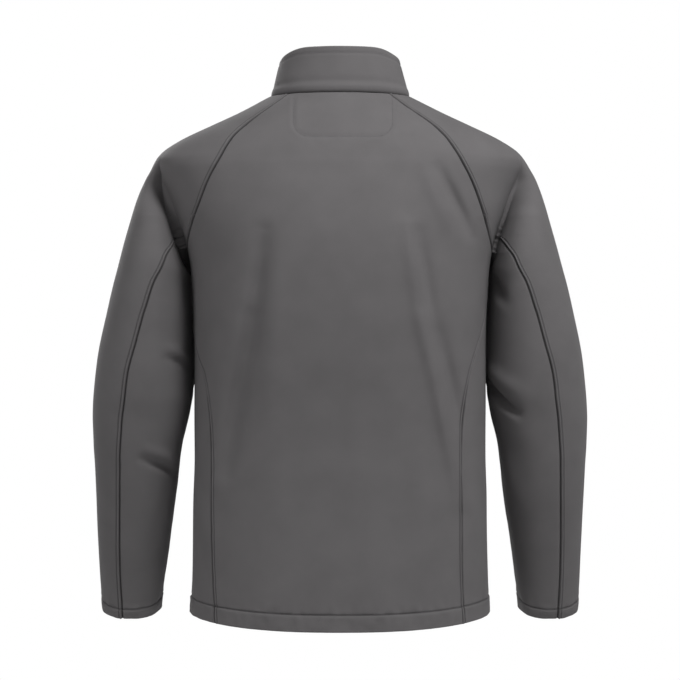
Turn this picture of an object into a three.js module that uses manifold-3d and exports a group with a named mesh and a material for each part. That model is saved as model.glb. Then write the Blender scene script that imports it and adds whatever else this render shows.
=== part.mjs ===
// Softshell jacket, filled out as when worn, with its sleeves hanging at the sides.
// Millimetres. +Z is up, the front faces -Y, and the wearer's left is +X.
// The origin is the middle of the neck base, at the height of the collar seam at the centre back.
import * as THREE from 'three';
import Module from 'manifold-3d';
import { mergeVertices } from 'three/addons/utils/BufferGeometryUtils.js';

// Cloth and seams.
const CLOTH = 2.2;
const COLLAR_CLOTH = 3.6;
const SEAM_GAP = 0.42;
const SEAM_BAND_STEP = 0.7;

// Heights.
const UNDERARM_Z = -235;
const HEM_Z = -693;
const HEM_BAND = 22;
const CUFF_Z = -690;
const CUFF_BAND = 17;
const HEM_DROP_BACK = 12;
const NECK_DROP_FRONT = 62;
const NECK_CURVE = 1.6;
const TAIL_BEGINS = 450;
const COLLAR_HEIGHT = 60;
const COLLAR_LEAN_IN = 13;
const COLLAR_TOP_SHARE_BACK = 0.95;
const COLLAR_TOP_SHARE_FRONT = 1.02;
const COLLAR_SIDE_DROP = 8;
const COLLAR_SEAM_GAP = 1.2;

// Front zip, a number 5 coil, closed to the top of the collar.
const ZIP_OPENING = 3.4;
const ZIP_FACING = 14;
const ZIP_CHAIN_HALF = 2.8;
const ZIP_CHAIN_THICK = 2.0;
const ZIP_TAPE_NEAR = 0.3;
const ZIP_TAPE_FAR = 13;
const ZIP_TAPE_THICK = 0.8;
const ZIP_CLEAR = 0.35;
const SLIDER_HEIGHT = 11;
const SLIDER_WIDTH = 9;
const SLIDER_THICK = 2.4;
const SLIDER_BELOW_TOP = 9;
const SLIDER_CORNER = 2.6;
const BRIDGE_LEG = 1.2;
const BRIDGE_REACH = 4.1;
const BRIDGE_HALF_HEIGHT = 4.2;
const BRIDGE_WIDTH = 2.2;
const BRIDGE_CORNER = 1;
const BRIDGE_SUNK = 0.6;
const PULL_LENGTH = 30;
const PULL_WIDTH = 7;
const PULL_THICK = 1.6;
const PULL_CORNER = 0.7;
const PULL_EYE_HALF_WIDTH = 1.8;
const PULL_EYE_LENGTH = 7;
const PULL_AXIS_OUT = 1.7;

const FABRIC = { roughness: 0.85, metalness: 0 };
const TAPE = { roughness: 0.9, metalness: 0 };
const COIL = { roughness: 0.5, metalness: 0 };
const METAL = { roughness: 0.35, metalness: 0.9 };
const COLOURS = {
  cloth: 0x5f5d5e,
  clothUnder: 0x59575a,
  collar: 0x5c5a5c,
  tape: 0x2b2b2d,
  metal: 0x8c8e92,
};

// Horizontal sections of the body: half width, depth behind and in front of the side line, and squareness
// of the oval.
const BODY = [
  { z: 0, half: 94, back: 70, front: 76, square: 2.1 },
  { z: -10, half: 112, back: 79, front: 84, square: 2.1 },
  { z: -22, half: 136, back: 88, front: 93, square: 2.12 },
  { z: -40, half: 174, back: 99, front: 103, square: 2.15 },
  { z: -60, half: 216, back: 110, front: 112, square: 2.18 },
  { z: -76, half: 240, back: 118, front: 119, square: 2.2 },
  { z: -88, half: 250, back: 123, front: 123, square: 2.2 },
  { z: -97, half: 248, back: 127, front: 126, square: 2.2 },
  { z: -110, half: 241, back: 131, front: 130, square: 2.22 },
  { z: -130, half: 231, back: 137, front: 134, square: 2.23 },
  { z: -150, half: 223.5, back: 142, front: 138, square: 2.25 },
  { z: -185, half: 211.5, back: 148, front: 144, square: 2.28 },
  { z: -202, half: 206.5, back: 149.5, front: 146, square: 2.3 },
  { z: -235, half: 200.5, back: 150.5, front: 149, square: 2.32 },
  { z: -288, half: 197.2, back: 149, front: 151, square: 2.35 },
  { z: -350, half: 196, back: 144, front: 151.5, square: 2.35 },
  { z: -420, half: 195.9, back: 137, front: 150, square: 2.36 },
  { z: -480, half: 195.9, back: 134, front: 149, square: 2.38 },
  { z: -544, half: 197.6, back: 134, front: 148, square: 2.4 },
  { z: -620, half: 198.4, back: 137, front: 148, square: 2.4 },
  { z: -693, half: 200.7, back: 140, front: 149, square: 2.4 },
];

// Raglan seams as angles round the body, from 0 at the centre back over 90 at the side to 180 at the front.
// The left and the right back seam differ a little, as the jacket hangs.
// The fold columns are where the cloth turns in between the body and the arm.
const RAGLAN = [
  { z: 0, left: 45.4, right: 42.8, front: 119, foldBack: 60, foldFront: 112 },
  { z: -14, left: 44.3, right: 41.3, front: 126, foldBack: 60, foldFront: 114 },
  { z: -25, left: 43.1, right: 40.8, front: 131, foldBack: 60, foldFront: 116 },
  { z: -36, left: 42.2, right: 40.4, front: 134.5, foldBack: 61.5, foldFront: 117.5 },
  { z: -47, left: 40.7, right: 39.3, front: 137.5, foldBack: 63, foldFront: 117 },
  { z: -60, left: 38.4, right: 37.2, front: 141, foldBack: 65, foldFront: 115 },
  { z: -74, left: 36.6, right: 36, front: 143, foldBack: 68, foldFront: 111.5 },
  { z: -89, left: 36.9, right: 36.5, front: 143.5, foldBack: 72, foldFront: 108 },
  { z: -104, left: 40.4, right: 40.3, front: 139.5, foldBack: 76.5, foldFront: 103.5 },
  { z: -119, left: 45, right: 44.7, front: 135, foldBack: 80, foldFront: 100 },
  { z: -136, left: 50.2, right: 49.7, front: 130, foldBack: 80.8, foldFront: 99.2 },
  { z: -152, left: 55.2, right: 54.4, front: 125.5, foldBack: 81.3, foldFront: 98.8 },
  { z: -168, left: 61.2, right: 60, front: 120, foldBack: 81.8, foldFront: 98.6 },
  { z: -184, left: 68.6, right: 66.6, front: 113, foldBack: 82.4, foldFront: 98.4 },
  { z: -198, left: 77.5, right: 74.8, front: 103, foldBack: 82.8, foldFront: 98.1 },
  { z: -212, left: 85.5, right: 83.5, front: 97.5, foldBack: 83, foldFront: 98 },
  { z: -224, left: 89.5, right: 89, front: 94.5, foldBack: 83, foldFront: 98 },
  { z: -235, left: 92, right: 92, front: 92, foldBack: 83, foldFront: 98 },
];

// Seams of the side panels, in the same angles.
const SIDE_SEAMS = [
  { z: -235, left: 92, right: 92, front: 92 },
  { z: -245, left: 91, right: 89.5, front: 94 },
  { z: -270, left: 89.5, right: 85, front: 99 },
  { z: -305, left: 86.5, right: 75.6, front: 105 },
  { z: -341, left: 76, right: 65, front: 111 },
  { z: -372, left: 64.8, right: 58.4, front: 114 },
  { z: -407, left: 60.4, right: 54.4, front: 116 },
  { z: -446, left: 57.8, right: 51.8, front: 118 },
  { z: -511, left: 56.5, right: 51, front: 119 },
  { z: -616, left: 54.6, right: 50.6, front: 120 },
  { z: -693, left: 51, right: 51, front: 120 },
];

// Sections of the arm: outer and inner reach from the centre line, middle in Y, half depth.
const ARM = [
  { z: 0, inner: 94, outer: 94, middle: 0, depth: 30 },
  { z: -22, inner: 136, outer: 136, middle: 0, depth: 30 },
  { z: -40, inner: 174, outer: 174, middle: -1, depth: 30 },
  { z: -60, inner: 216, outer: 216, middle: -2, depth: 30 },
  { z: -76, inner: 240, outer: 240, middle: -3, depth: 32 },
  { z: -88, inner: 250, outer: 250, middle: -4, depth: 36 },
  { z: -97, inner: 248, outer: 255.5, middle: -4, depth: 40 },
  { z: -112, inner: 240, outer: 264, middle: -5, depth: 47 },
  { z: -140, inner: 227, outer: 274.5, middle: -6, depth: 59 },
  { z: -167, inner: 218, outer: 282.5, middle: -7, depth: 68 },
  { z: -200, inner: 207, outer: 292, middle: -8, depth: 77 },
  { z: -235, inner: 201, outer: 301, middle: -8, depth: 81 },
  { z: -250, inner: 202.8, outer: 305, middle: -8.3, depth: 81 },
  { z: -288, inner: 200.6, outer: 314, middle: -9, depth: 80 },
  { z: -350, inner: 199.4, outer: 327.5, middle: -10, depth: 76 },
  { z: -396, inner: 199.4, outer: 332.5, middle: -12, depth: 71 },
  { z: -415, inner: 201.8, outer: 334, middle: -14, depth: 68 },
  { z: -436, inner: 205.8, outer: 334.8, middle: -16, depth: 65 },
  { z: -468, inner: 213.6, outer: 334.6, middle: -21, depth: 62 },
  { z: -494, inner: 217.5, outer: 333.5, middle: -26, depth: 60 },
  { z: -544, inner: 224, outer: 332, middle: -36, depth: 55 },
  { z: -587, inner: 230.7, outer: 331, middle: -44, depth: 50.5 },
  { z: -629, inner: 236.8, outer: 330, middle: -53, depth: 46 },
  { z: -671, inner: 243.1, outer: 328.4, middle: -61, depth: 41 },
  { z: -690, inner: 246, outer: 327.5, middle: -65, depth: 39 },
];

// Back sleeve seam as an angle round the arm, from 0 at the inside over 90 at the back to 180 at the outside.
const SLEEVE_SEAM = [
  { z: -190, turn: 28 },
  { z: -200, turn: 47 },
  { z: -218, turn: 67 },
  { z: -270, turn: 87 },
  { z: -335, turn: 96.5 },
  { z: -376, turn: 103 },
  { z: -434, turn: 106 },
  { z: -542, turn: 107 },
  { z: -625, turn: 106 },
  { z: -690, turn: 101 },
];
const SLEEVE_SEAM_START_Z = -166;
const SLEEVE_SEAM_FOLD_Z = -190;
const FOLD_GAP = 1.3;
const ARM_SQUARE = 2.25;
// Between these depths below the neck the shoulder's oval turns into the arm's own.
const ARM_BEGINS = 84;
const ARM_ALONE = 165;
// A fold of the sleeve fades out within this turn of the armhole.
const FOLD_CLEAR_TURN = 30;
// Shares of a level that the columns beside the folds take up.
const FOLD_COLUMNS = 0.03;
const FOLD_COLUMNS_ARM = 0.08;
const FRONT_COLUMNS_ARM = 0.22;
const UNDER_COLUMNS = 0.3;

// Long soft folds of the body: ends across and up, width of the trough, depth (negative is a ridge), side.
const BODY_FOLDS = [
  { x1: 110, z1: -240, x2: 152, z2: -510, width: 20, depth: 5, side: 1 },
  { x1: -112, z1: -260, x2: -150, z2: -510, width: 17, depth: 5, side: 1 },
  { x1: -84, z1: -240, x2: -104, z2: -470, width: 19, depth: -3, side: 1 },
  { x1: -126, z1: -100, x2: -168, z2: -188, width: 14, depth: 3, side: 1 },
  { x1: 178, z1: -545, x2: 172, z2: -600, width: 12, depth: -2, side: 1 },
  { x1: -96, z1: -150, x2: -142, z2: -420, width: 22, depth: 4, side: -1 },
  { x1: 92, z1: -160, x2: 138, z2: -400, width: 20, depth: 3.5, side: -1 },
  { x1: 70, z1: -420, x2: 100, z2: -600, width: 20, depth: 2.5, side: -1 },
  { x1: -74, z1: -450, x2: -92, z2: -620, width: 18, depth: 2.5, side: -1 },
];

// Folds of the sleeves: turn round the arm and height of both ends, width, depth, on the left (1) or
// right (-1) arm.
const ARM_FOLDS = [
  { turn1: 20, z1: -372, turn2: 88, z2: -352, width: 12, depth: 3.5, arm: 1 },
  { turn1: 5, z1: -388, turn2: 62, z2: -432, width: 13, depth: 6, arm: -1 },
  { turn1: 70, z1: -262, turn2: 20, z2: -330, width: 16, depth: 3.5, arm: -1 },
  { turn1: 250, z1: -400, turn2: 330, z2: -430, width: 14, depth: 5, arm: 1 },
  { turn1: 255, z1: -425, turn2: 335, z2: -395, width: 14, depth: 5, arm: -1 },
  { turn1: 230, z1: -470, turn2: 320, z2: -500, width: 15, depth: 3.5, arm: 1 },
  { turn1: 225, z1: -500, turn2: 315, z2: -470, width: 15, depth: 3.5, arm: -1 },
];

const RAD = Math.PI / 180;

// Value of a table's column at a height, along a smooth curve that never overshoots its rows.
function at(table, column, z) {
  const last = table.length - 1;
  if (z >= table[0].z) {
    return table[0][column];
  }
  if (z <= table[last].z) {
    return table[last][column];
  }
  let i = 0;
  while (table[i + 1].z > z) {
    i += 1;
  }
  const slope = (j) => (table[j + 1][column] - table[j][column]) / (table[j + 1].z - table[j].z);
  const tangent = (j) => {
    if (j <= 0 || j >= last) {
      return slope(Math.min(Math.max(j, 0), last - 1));
    }
    const before = slope(j - 1);
    const after = slope(j);
    return before * after <= 0 ? 0 : (2 * before * after) / (before + after);
  };
  const span = table[i + 1].z - table[i].z;
  const t = (z - table[i].z) / span;
  const rise = t * t * (3 - 2 * t);
  return table[i][column] * (1 - rise) + table[i + 1][column] * rise
    + span * (t * (1 - t) * (1 - t) * tangent(i) - t * t * (1 - t) * tangent(i + 1));
}

function smoothstep(from, to, value) {
  const t = Math.min(Math.max((value - from) / (to - from), 0), 1);
  return t * t * (3 - 2 * t);
}

// Power that keeps the sign, which squares an oval up.
function squared(value, power) {
  return Math.sign(value) * Math.abs(value) ** power;
}

// Depth of the folds at a point: each is a trough round a line, deepest at its middle.
function foldDepth(u, v, u1, v1, u2, v2, width, depth) {
  const du = u2 - u1;
  const dv = v2 - v1;
  const along = ((u - u1) * du + (v - v1) * dv) / (du * du + dv * dv);
  const held = Math.min(Math.max(along, 0), 1);
  const off = Math.hypot(u - u1 - held * du, v - v1 - held * dv) / width;
  return depth * Math.exp(-off * off) * (0.35 + 0.65 * Math.sin(Math.PI * held));
}

// Point of the body's outer face at a height and an angle from the centre back, on the side of its sign.
function bodyPoint(z, angle) {
  const turn = Math.abs(angle);
  const power = 2 / at(BODY, 'square', z);
  const cos = squared(Math.cos(turn * RAD), power);
  const depth = at(BODY, cos > 0 ? 'back' : 'front', z);
  const x = Math.sign(angle) * at(BODY, 'half', z) * squared(Math.max(Math.sin(turn * RAD), 0), power);
  const y = depth * cos;
  return new THREE.Vector3(x, y, z - levelDrop(z, cos));
}

// How far a level dips: the neckline at the front, and the tail of the hem at the back.
function levelDrop(z, cos) {
  const neck = NECK_DROP_FRONT * (1 - smoothstep(0, -UNDERARM_Z, -z)) * Math.max(-cos, 0) ** NECK_CURVE;
  const tail = HEM_DROP_BACK * smoothstep(TAIL_BEGINS, -HEM_Z, -z) * Math.max(cos, 0) ** 2;
  return neck + tail;
}

// The body's point with its folds pressed in along Y, which is near enough to across the cloth.
function bodySurface(z, angle) {
  const p = bodyPoint(z, angle);
  const side = p.y > 0 ? 1 : -1;
  let press = 0;
  for (const f of BODY_FOLDS.filter((row) => row.side === side)) {
    press += foldDepth(p.x, p.z, f.x1, f.z1, f.x2, f.z2, f.width, f.depth);
  }
  const facing = smoothstep(0, 60, Math.abs(p.y));
  p.y -= side * press * facing;
  return p;
}

// Point of an arm's own oval. The lower arm leans forward, and its sections lean with it.
function armPoint(z, turn) {
  const inner = at(ARM, 'inner', z);
  const outer = at(ARM, 'outer', z);
  const middle = at(ARM, 'middle', z);
  const power = 2 / ARM_SQUARE;
  const x = (inner + outer) / 2 - ((outer - inner) / 2) * squared(Math.cos(turn * RAD), power);
  const y = middle + at(ARM, 'depth', z) * squared(Math.sin(turn * RAD), power);
  const lean = (at(ARM, 'middle', z + 12) - at(ARM, 'middle', z - 12)) / 24;
  return new THREE.Vector3(x, y, z - lean * (y - middle) * smoothstep(280, 420, -z));
}

// Turn at which an arm's oval has a given Y, on its inner side.
function turnAt(z, y) {
  const share = (y - at(ARM, 'middle', z)) / at(ARM, 'depth', z);
  const sine = Math.min(Math.abs(share), 0.98) ** (ARM_SQUARE / 2);
  return Math.sign(share) * Math.asin(sine) / RAD;
}

// Places where the cloth of the sleeve leaves the body at a height: seams and folds, back and front.
function armhole(z, arm) {
  if (z <= UNDERARM_Z) {
    return null;
  }
  const back = at(RAGLAN, arm > 0 ? 'left' : 'right', z);
  const front = at(RAGLAN, 'front', z);
  const foldBack = Math.max(at(RAGLAN, 'foldBack', z), back);
  const foldFront = Math.min(at(RAGLAN, 'foldFront', z), front);
  return { back, front, foldBack, foldFront };
}

// Point of the sleeve's outer face, for the left arm. Along a level, t runs from -1 at the back raglan seam
// over 0 at the back fold, 1 at the outside of the arm and 2 at the front fold to 3 at the front raglan seam.
// Below the underarm the level is a closed oval from t = 0 to 2.
function sleevePoint(z, t, arm) {
  const hole = armhole(z, arm);
  let p;
  if (!hole) {
    p = armPoint(z, Math.min(Math.max(t, 0), 2) * 180);
  } else if (t <= 0) {
    p = bodyPoint(z, hole.foldBack + t * (hole.foldBack - hole.back));
  } else if (t >= 2) {
    p = bodyPoint(z, hole.foldFront + (t - 2) * (hole.front - hole.foldFront));
  } else {
    p = capPoint(z, t, hole);
  }
  return pressSleeveFolds(p, z, t, arm);
}

// Between the folds the level changes from the oval of the shoulder to the arm's own oval further down.
function capPoint(z, t, hole) {
  const isBack = t < 1;
  const q = isBack ? t : 2 - t;
  const fold = isBack ? hole.foldBack : hole.foldFront;
  const anchor = bodyPoint(z, fold);
  const start = turnAt(z, anchor.y);
  const turn = isBack ? start + q * (180 - start) : 360 + start - q * (180 + start);
  const ring = armPoint(z, turn);
  const ringStart = armPoint(z, isBack ? start : 360 + start);
  const angle = fold + q * (90 - fold);
  const shoulder = bodyPoint(z, angle);
  shoulder.x *= at(ARM, 'outer', z) / at(BODY, 'half', z);
  const shoulderStart = anchor.clone();
  shoulderStart.x *= at(ARM, 'outer', z) / at(BODY, 'half', z);
  const armShare = smoothstep(ARM_BEGINS, ARM_ALONE, -z);
  const p = shoulder.lerp(ring, armShare);
  const begin = shoulderStart.lerp(ringStart, armShare);
  return p.addScaledVector(anchor.sub(begin), (1 - q) ** 4);
}

function pressSleeveFolds(p, z, t, arm) {
  const turn = Math.min(Math.max(t, 0), 2) * 180;
  let press = 0;
  for (const f of ARM_FOLDS.filter((row) => row.arm === arm)) {
    press += foldDepth(turn, p.z, f.turn1, f.z1, f.turn2, f.z2, f.width, f.depth);
  }
  const heart = new THREE.Vector3((at(ARM, 'inner', z) + at(ARM, 'outer', z)) / 2, at(ARM, 'middle', z), p.z);
  const inward = heart.sub(p);
  const far = inward.length();
  if (press === 0 || far === 0) {
    return p;
  }
  return p.addScaledVector(inward, (press * smoothstep(0, FOLD_CLEAR_TURN, turn)) / far);
}

// Points of a row that are evenly spread between two ends, measured along the curve.
function spread(curve, from, to, count) {
  const steps = 48;
  const dense = [];
  const length = [0];
  for (let i = 0; i <= steps; i += 1) {
    dense.push(curve(from + ((to - from) * i) / steps));
    if (i > 0) {
      length.push(length[i - 1] + dense[i].distanceTo(dense[i - 1]));
    }
  }
  const points = [];
  let j = 0;
  for (let i = 0; i <= count; i += 1) {
    const goal = (length[steps] * i) / count;
    while (j < steps - 1 && length[j + 1] < goal) {
      j += 1;
    }
    const share = (goal - length[j]) / Math.max(length[j + 1] - length[j], 1e-9);
    points.push(dense[j].clone().lerp(dense[j + 1], Math.min(Math.max(share, 0), 1)));
  }
  return points;
}

// The row with its two ends drawn in by half a seam gap.
function trimmed(row, first = SEAM_GAP / 2, last = SEAM_GAP / 2) {
  const end = row.length - 1;
  const start = row[1].clone().sub(row[0]);
  const stop = row[end - 1].clone().sub(row[end]);
  row[0] = row[0].clone().addScaledVector(start, first / start.length());
  row[end] = row[end].clone().addScaledVector(stop, last / stop.length());
  return row;
}

// Normals at the points of a grid, averaged over its quads and carried on to the edges of each row.
function gridNormals(grid) {
  const quads = [];
  for (let r = 0; r < grid.length - 1; r += 1) {
    quads.push([]);
    for (let c = 0; c < grid[r].length - 1; c += 1) {
      const across = grid[r + 1][c + 1].clone().sub(grid[r][c]);
      const along = grid[r][c + 1].clone().sub(grid[r + 1][c]);
      quads[r].push(across.cross(along).normalize());
    }
  }
  const onRow = (row, c) => {
    const end = row.length;
    if (end === 1) {
      return row[0].clone();
    }
    if (c === 0) {
      return row[0].clone().multiplyScalar(1.5).addScaledVector(row[1], -0.5);
    }
    if (c === end) {
      return row[end - 1].clone().multiplyScalar(1.5).addScaledVector(row[end - 2], -0.5);
    }
    return row[c - 1].clone().add(row[c]).multiplyScalar(0.5);
  };
  return grid.map((row, r) => row.map((_, c) => {
    const above = quads[Math.max(r - 1, 0)];
    const below = quads[Math.min(r, quads.length - 1)];
    return onRow(above, c).add(onRow(below, c)).normalize();
  }));
}

// Closed wall of cloth: the outer face is the grid, the inner one is the grid moved in, and a rim joins them.
function clothWall(grid, thickness, bandStep = () => 0) {
  const rows = grid.length;
  const columns = grid[0].length;
  const normals = gridNormals(grid);
  const centre = new THREE.Vector3();
  const points = [];
  for (const face of [0, 1]) {
    grid.forEach((row, r) => row.forEach((p, c) => {
      const out = face === 0 ? bandStep(r) : -thickness;
      points.push(centre.copy(p).addScaledVector(normals[r][c], out).clone());
    }));
  }
  const index = (face, r, c) => face * rows * columns + r * columns + c;
  const faces = [];
  const quad = (a, b, c, d) => faces.push(a, b, c, a, c, d);
  for (let r = 0; r < rows - 1; r += 1) {
    for (let c = 0; c < columns - 1; c += 1) {
      quad(index(0, r, c), index(0, r + 1, c), index(0, r + 1, c + 1), index(0, r, c + 1));
      quad(index(1, r, c), index(1, r, c + 1), index(1, r + 1, c + 1), index(1, r + 1, c));
    }
  }
  for (let c = 0; c < columns - 1; c += 1) {
    quad(index(0, 0, c), index(0, 0, c + 1), index(1, 0, c + 1), index(1, 0, c));
    quad(index(0, rows - 1, c + 1), index(0, rows - 1, c), index(1, rows - 1, c), index(1, rows - 1, c + 1));
  }
  const end = columns - 1;
  for (let r = 0; r < rows - 1; r += 1) {
    quad(index(0, r + 1, 0), index(0, r, 0), index(1, r, 0), index(1, r + 1, 0));
    quad(index(0, r, end), index(0, r + 1, end), index(1, r + 1, end), index(1, r, end));
  }
  const geometry = new THREE.BufferGeometry();
  geometry.setAttribute('position', new THREE.Float32BufferAttribute(points.flatMap((p) => p.toArray()), 3));
  geometry.setIndex(faces);
  geometry.computeVertexNormals();
  return geometry;
}

// The same solid for the wearer's right side, mirrored over X with its faces turned round.
function mirrored(geometry) {
  const copy = geometry.clone().scale(-1, 1, 1);
  const order = Array.from(copy.index.array);
  for (let i = 0; i < order.length; i += 3) {
    [order[i], order[i + 1]] = [order[i + 1], order[i]];
  }
  copy.setIndex(order);
  copy.computeVertexNormals();
  return copy;
}

const jacket = new THREE.Group();

function addPiece(name, geometry, colour, finish) {
  const material = new THREE.MeshStandardMaterial({ color: colour, ...finish });
  const mesh = new THREE.Mesh(geometry, material);
  mesh.name = name;
  jacket.add(mesh);
  return mesh;
}

const UPPER_LEVELS = [0, -9, -22, -38, -56, -74, -86, -96, -107, -120, -136, -152, -166, -174, -182, -190,
  -197, -204, -213, -224];
const BODY_LEVELS = [-236, -246, -262, -286, -314, -343, -374, -409, -446, -490, -536, -584, -630,
  HEM_Z + HEM_BAND + 0.8, HEM_Z + HEM_BAND - 0.8, HEM_Z];
const ARM_LEVELS = [-236, -244, -256, -274, -298, -326, -354, -380, -402, -424, -450, -482, -520, -560, -605,
  -645, CUFF_Z + CUFF_BAND + 0.8, CUFF_Z + CUFF_BAND - 0.8, CUFF_Z];

const COLLAR_LEVELS = [COLLAR_HEIGHT, 54, 38, 20, 6, 0];

function bandOf(levels, count) {
  return (r) => (r >= levels.length - count ? SEAM_BAND_STEP : 0);
}

// Angle of the back panel's edge, and of the front panel's edge, at a height.
function backEdge(z, side) {
  return at(z > UNDERARM_Z ? RAGLAN : SIDE_SEAMS, side > 0 ? 'left' : 'right', z);
}

function frontEdge(z) {
  return at(z > UNDERARM_Z ? RAGLAN : SIDE_SEAMS, 'front', z);
}

// Angle at which the body's front is a given distance from the centre line.
function angleNearFront(z, x) {
  return 180 - Math.asin((x / at(BODY, 'half', z)) ** (at(BODY, 'square', z) / 2)) / RAD;
}

function buildBack() {
  const levels = [...UPPER_LEVELS, ...BODY_LEVELS];
  const grid = levels.map((z) => {
    const curve = (angle) => bodySurface(z, angle);
    return trimmed(spread(curve, backEdge(z, 1), -backEdge(z, -1), 14));
  });
  addPiece('back', clothWall(grid, CLOTH, bandOf(levels, 2)), COLOURS.cloth, FABRIC);
}

function buildFront(side) {
  const levels = [...UPPER_LEVELS, ...BODY_LEVELS];
  const grid = levels.map((z) => {
    const curve = (angle) => bodySurface(z, angle * side);
    const facing = angleNearFront(z, ZIP_FACING);
    const row = [curve(angleNearFront(z, ZIP_OPENING)), ...spread(curve, facing, frontEdge(z), 5)];
    return trimmed(row, 0);
  });
  const turned = side > 0 ? grid : grid.map((row) => row.slice().reverse());
  const wall = clothWall(turned, CLOTH, bandOf(levels, 2));
  addPiece(side > 0 ? 'front_left' : 'front_right', wall, COLOURS.cloth, FABRIC);
}

function buildSide(side) {
  const levels = BODY_LEVELS.slice(1);
  const grid = levels.map((z) => {
    const curve = (angle) => bodySurface(z, angle * side);
    return trimmed(spread(curve, frontEdge(z), backEdge(z, side), 4));
  });
  const turned = side > 0 ? grid : grid.map((row) => row.slice().reverse());
  const wall = clothWall(turned, CLOTH, bandOf(levels, 2));
  addPiece(side > 0 ? 'side_left' : 'side_right', wall, COLOURS.clothUnder, FABRIC);
}

// Where the back sleeve seam crosses a level, as t of sleevePoint.
function sleeveSeam(z, arm) {
  if (z > SLEEVE_SEAM_FOLD_Z) {
    return -1 + (SLEEVE_SEAM_START_Z - z) / (SLEEVE_SEAM_START_Z - SLEEVE_SEAM_FOLD_Z);
  }
  const turn = at(SLEEVE_SEAM, 'turn', z);
  const hole = armhole(z, arm);
  if (!hole) {
    return turn / 180;
  }
  const start = turnAt(z, bodyPoint(z, hole.foldBack).y);
  return Math.max((turn - start) / (180 - start), 0.02);
}

// The place a given distance along a level from t.
function shifted(curve, t, distance) {
  const step = 1e-3;
  return t + (distance * step) / curve(t + step).distanceTo(curve(t));
}

// Where the denser columns beside the back and the front fold end at a height, as t.
function backFoldEnd(z, left) {
  const beside = left + FOLD_COLUMNS;
  if (z >= SLEEVE_SEAM_FOLD_Z) {
    return Math.max(0, beside);
  }
  return beside + FOLD_COLUMNS_ARM * smoothstep(180, 260, -z);
}

function frontFoldStart(z) {
  return 2 - FOLD_COLUMNS * smoothstep(190, 202, -z) - FRONT_COLUMNS_ARM * smoothstep(200, 300, -z);
}

function sleeveGrids(arm) {
  const levels = [...UPPER_LEVELS, ...ARM_LEVELS];
  const upper = [];
  const under = [];
  for (const z of levels) {
    const curve = (t) => sleevePoint(z, t, arm);
    const hole = armhole(z, arm);
    const from = hole ? -1 : 0;
    const to = hole ? 3 : 2;
    const hasUnder = z < SLEEVE_SEAM_START_Z;
    const seam = hasUnder ? sleeveSeam(z, arm) : from;
    const gap = SEAM_GAP / 2 + FOLD_GAP * smoothstep(166, 172, -z) * (1 - smoothstep(196, 215, -z));
    const left = shifted(curve, seam, gap);
    const backFold = backFoldEnd(z, left);
    const frontFold = frontFoldStart(z);
    const row = [
      ...spread(curve, left, backFold, 3),
      ...spread(curve, backFold, 1, 5).slice(1),
      ...spread(curve, 1, frontFold, 5).slice(1),
      ...spread(curve, frontFold, to, 3).slice(1),
    ];
    upper.push(trimmed(row, 0).reverse());
    if (hasUnder) {
      const right = shifted(curve, seam, -gap);
      const pin = right < 0 ? (from + right) / 2 : UNDER_COLUMNS * right * smoothstep(190, 240, -z);
      const strip = [...spread(curve, from, pin, 3), ...spread(curve, pin, right, 4).slice(1)];
      under.push(trimmed(strip, SEAM_GAP / 2, 0).reverse());
    }
  }
  return { upper, under };
}

function buildSleeves() {
  for (const [arm, name] of [[1, 'left'], [-1, 'right']]) {
    const { upper, under } = sleeveGrids(arm);
    const turned = (geometry) => (arm > 0 ? geometry : mirrored(geometry));
    const upperWall = clothWall(upper, CLOTH, bandOf(upper, 2));
    const underWall = clothWall(under, CLOTH, bandOf(under, 2));
    addPiece(`sleeve_upper_${name}`, turned(upperWall), COLOURS.cloth, FABRIC);
    addPiece(`sleeve_under_${name}`, turned(underWall), COLOURS.clothUnder, FABRIC);
  }
}

// Stand-up collar: it follows the neck ring, narrows upwards and is lower at the sides and the front.
// h is the height above the seam.
function collarPoint(angle, h) {
  const p = bodyPoint(0, angle);
  const share = h / COLLAR_HEIGHT;
  const lower = 1 - (COLLAR_SIDE_DROP / COLLAR_HEIGHT) * smoothstep(30, 95, Math.abs(angle));
  p.x *= 1 - (COLLAR_LEAN_IN / BODY[0].half) * share;
  p.y *= 1 + share * ((p.y > 0 ? COLLAR_TOP_SHARE_BACK : COLLAR_TOP_SHARE_FRONT) - 1);
  p.z += h * lower + COLLAR_SEAM_GAP;
  return p;
}

function buildCollar() {
  const edge = angleNearFront(0, ZIP_OPENING);
  const facing = angleNearFront(0, ZIP_FACING);
  const grid = COLLAR_LEVELS.map((h) => {
    const curve = (angle) => collarPoint(angle, h);
    return [curve(edge), ...spread(curve, facing, -facing, 26), curve(-edge)];
  });
  addPiece('collar', clothWall(grid, COLLAR_CLOTH), COLOURS.collar, FABRIC);
}

// Rows of the front edge from the top of the collar down to the hem, with the depth of the cloth at each.
function zipRows() {
  const rows = [];
  for (const h of COLLAR_LEVELS) {
    rows.push({ cloth: COLLAR_CLOTH, point: (x) => collarPoint(angleNearFront(0, x), h) });
  }
  for (const z of [...UPPER_LEVELS, ...BODY_LEVELS]) {
    const cloth = z > -9 ? COLLAR_CLOTH : CLOTH;
    rows.push({ cloth, point: (x) => bodySurface(z, angleNearFront(z, x)) });
  }
  return rows;
}

// A long strip of the zip at given distances from the centre line, sunk below the outer face by its row's
// depth.
function zipStrip(distances, depthOf, thickness) {
  const rows = zipRows();
  const across = (row, x) => {
    const p = row.point(Math.abs(x));
    p.x *= Math.sign(x);
    return p;
  };
  const outer = rows.map((row) => distances.map((x) => across(row, x)));
  const normals = gridNormals(outer);
  const sunk = outer.map((row, r) => {
    const depth = depthOf(rows[r].cloth);
    return row.map((p, c) => p.addScaledVector(normals[r][c], -depth));
  });
  return clothWall(sunk, thickness);
}

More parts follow.
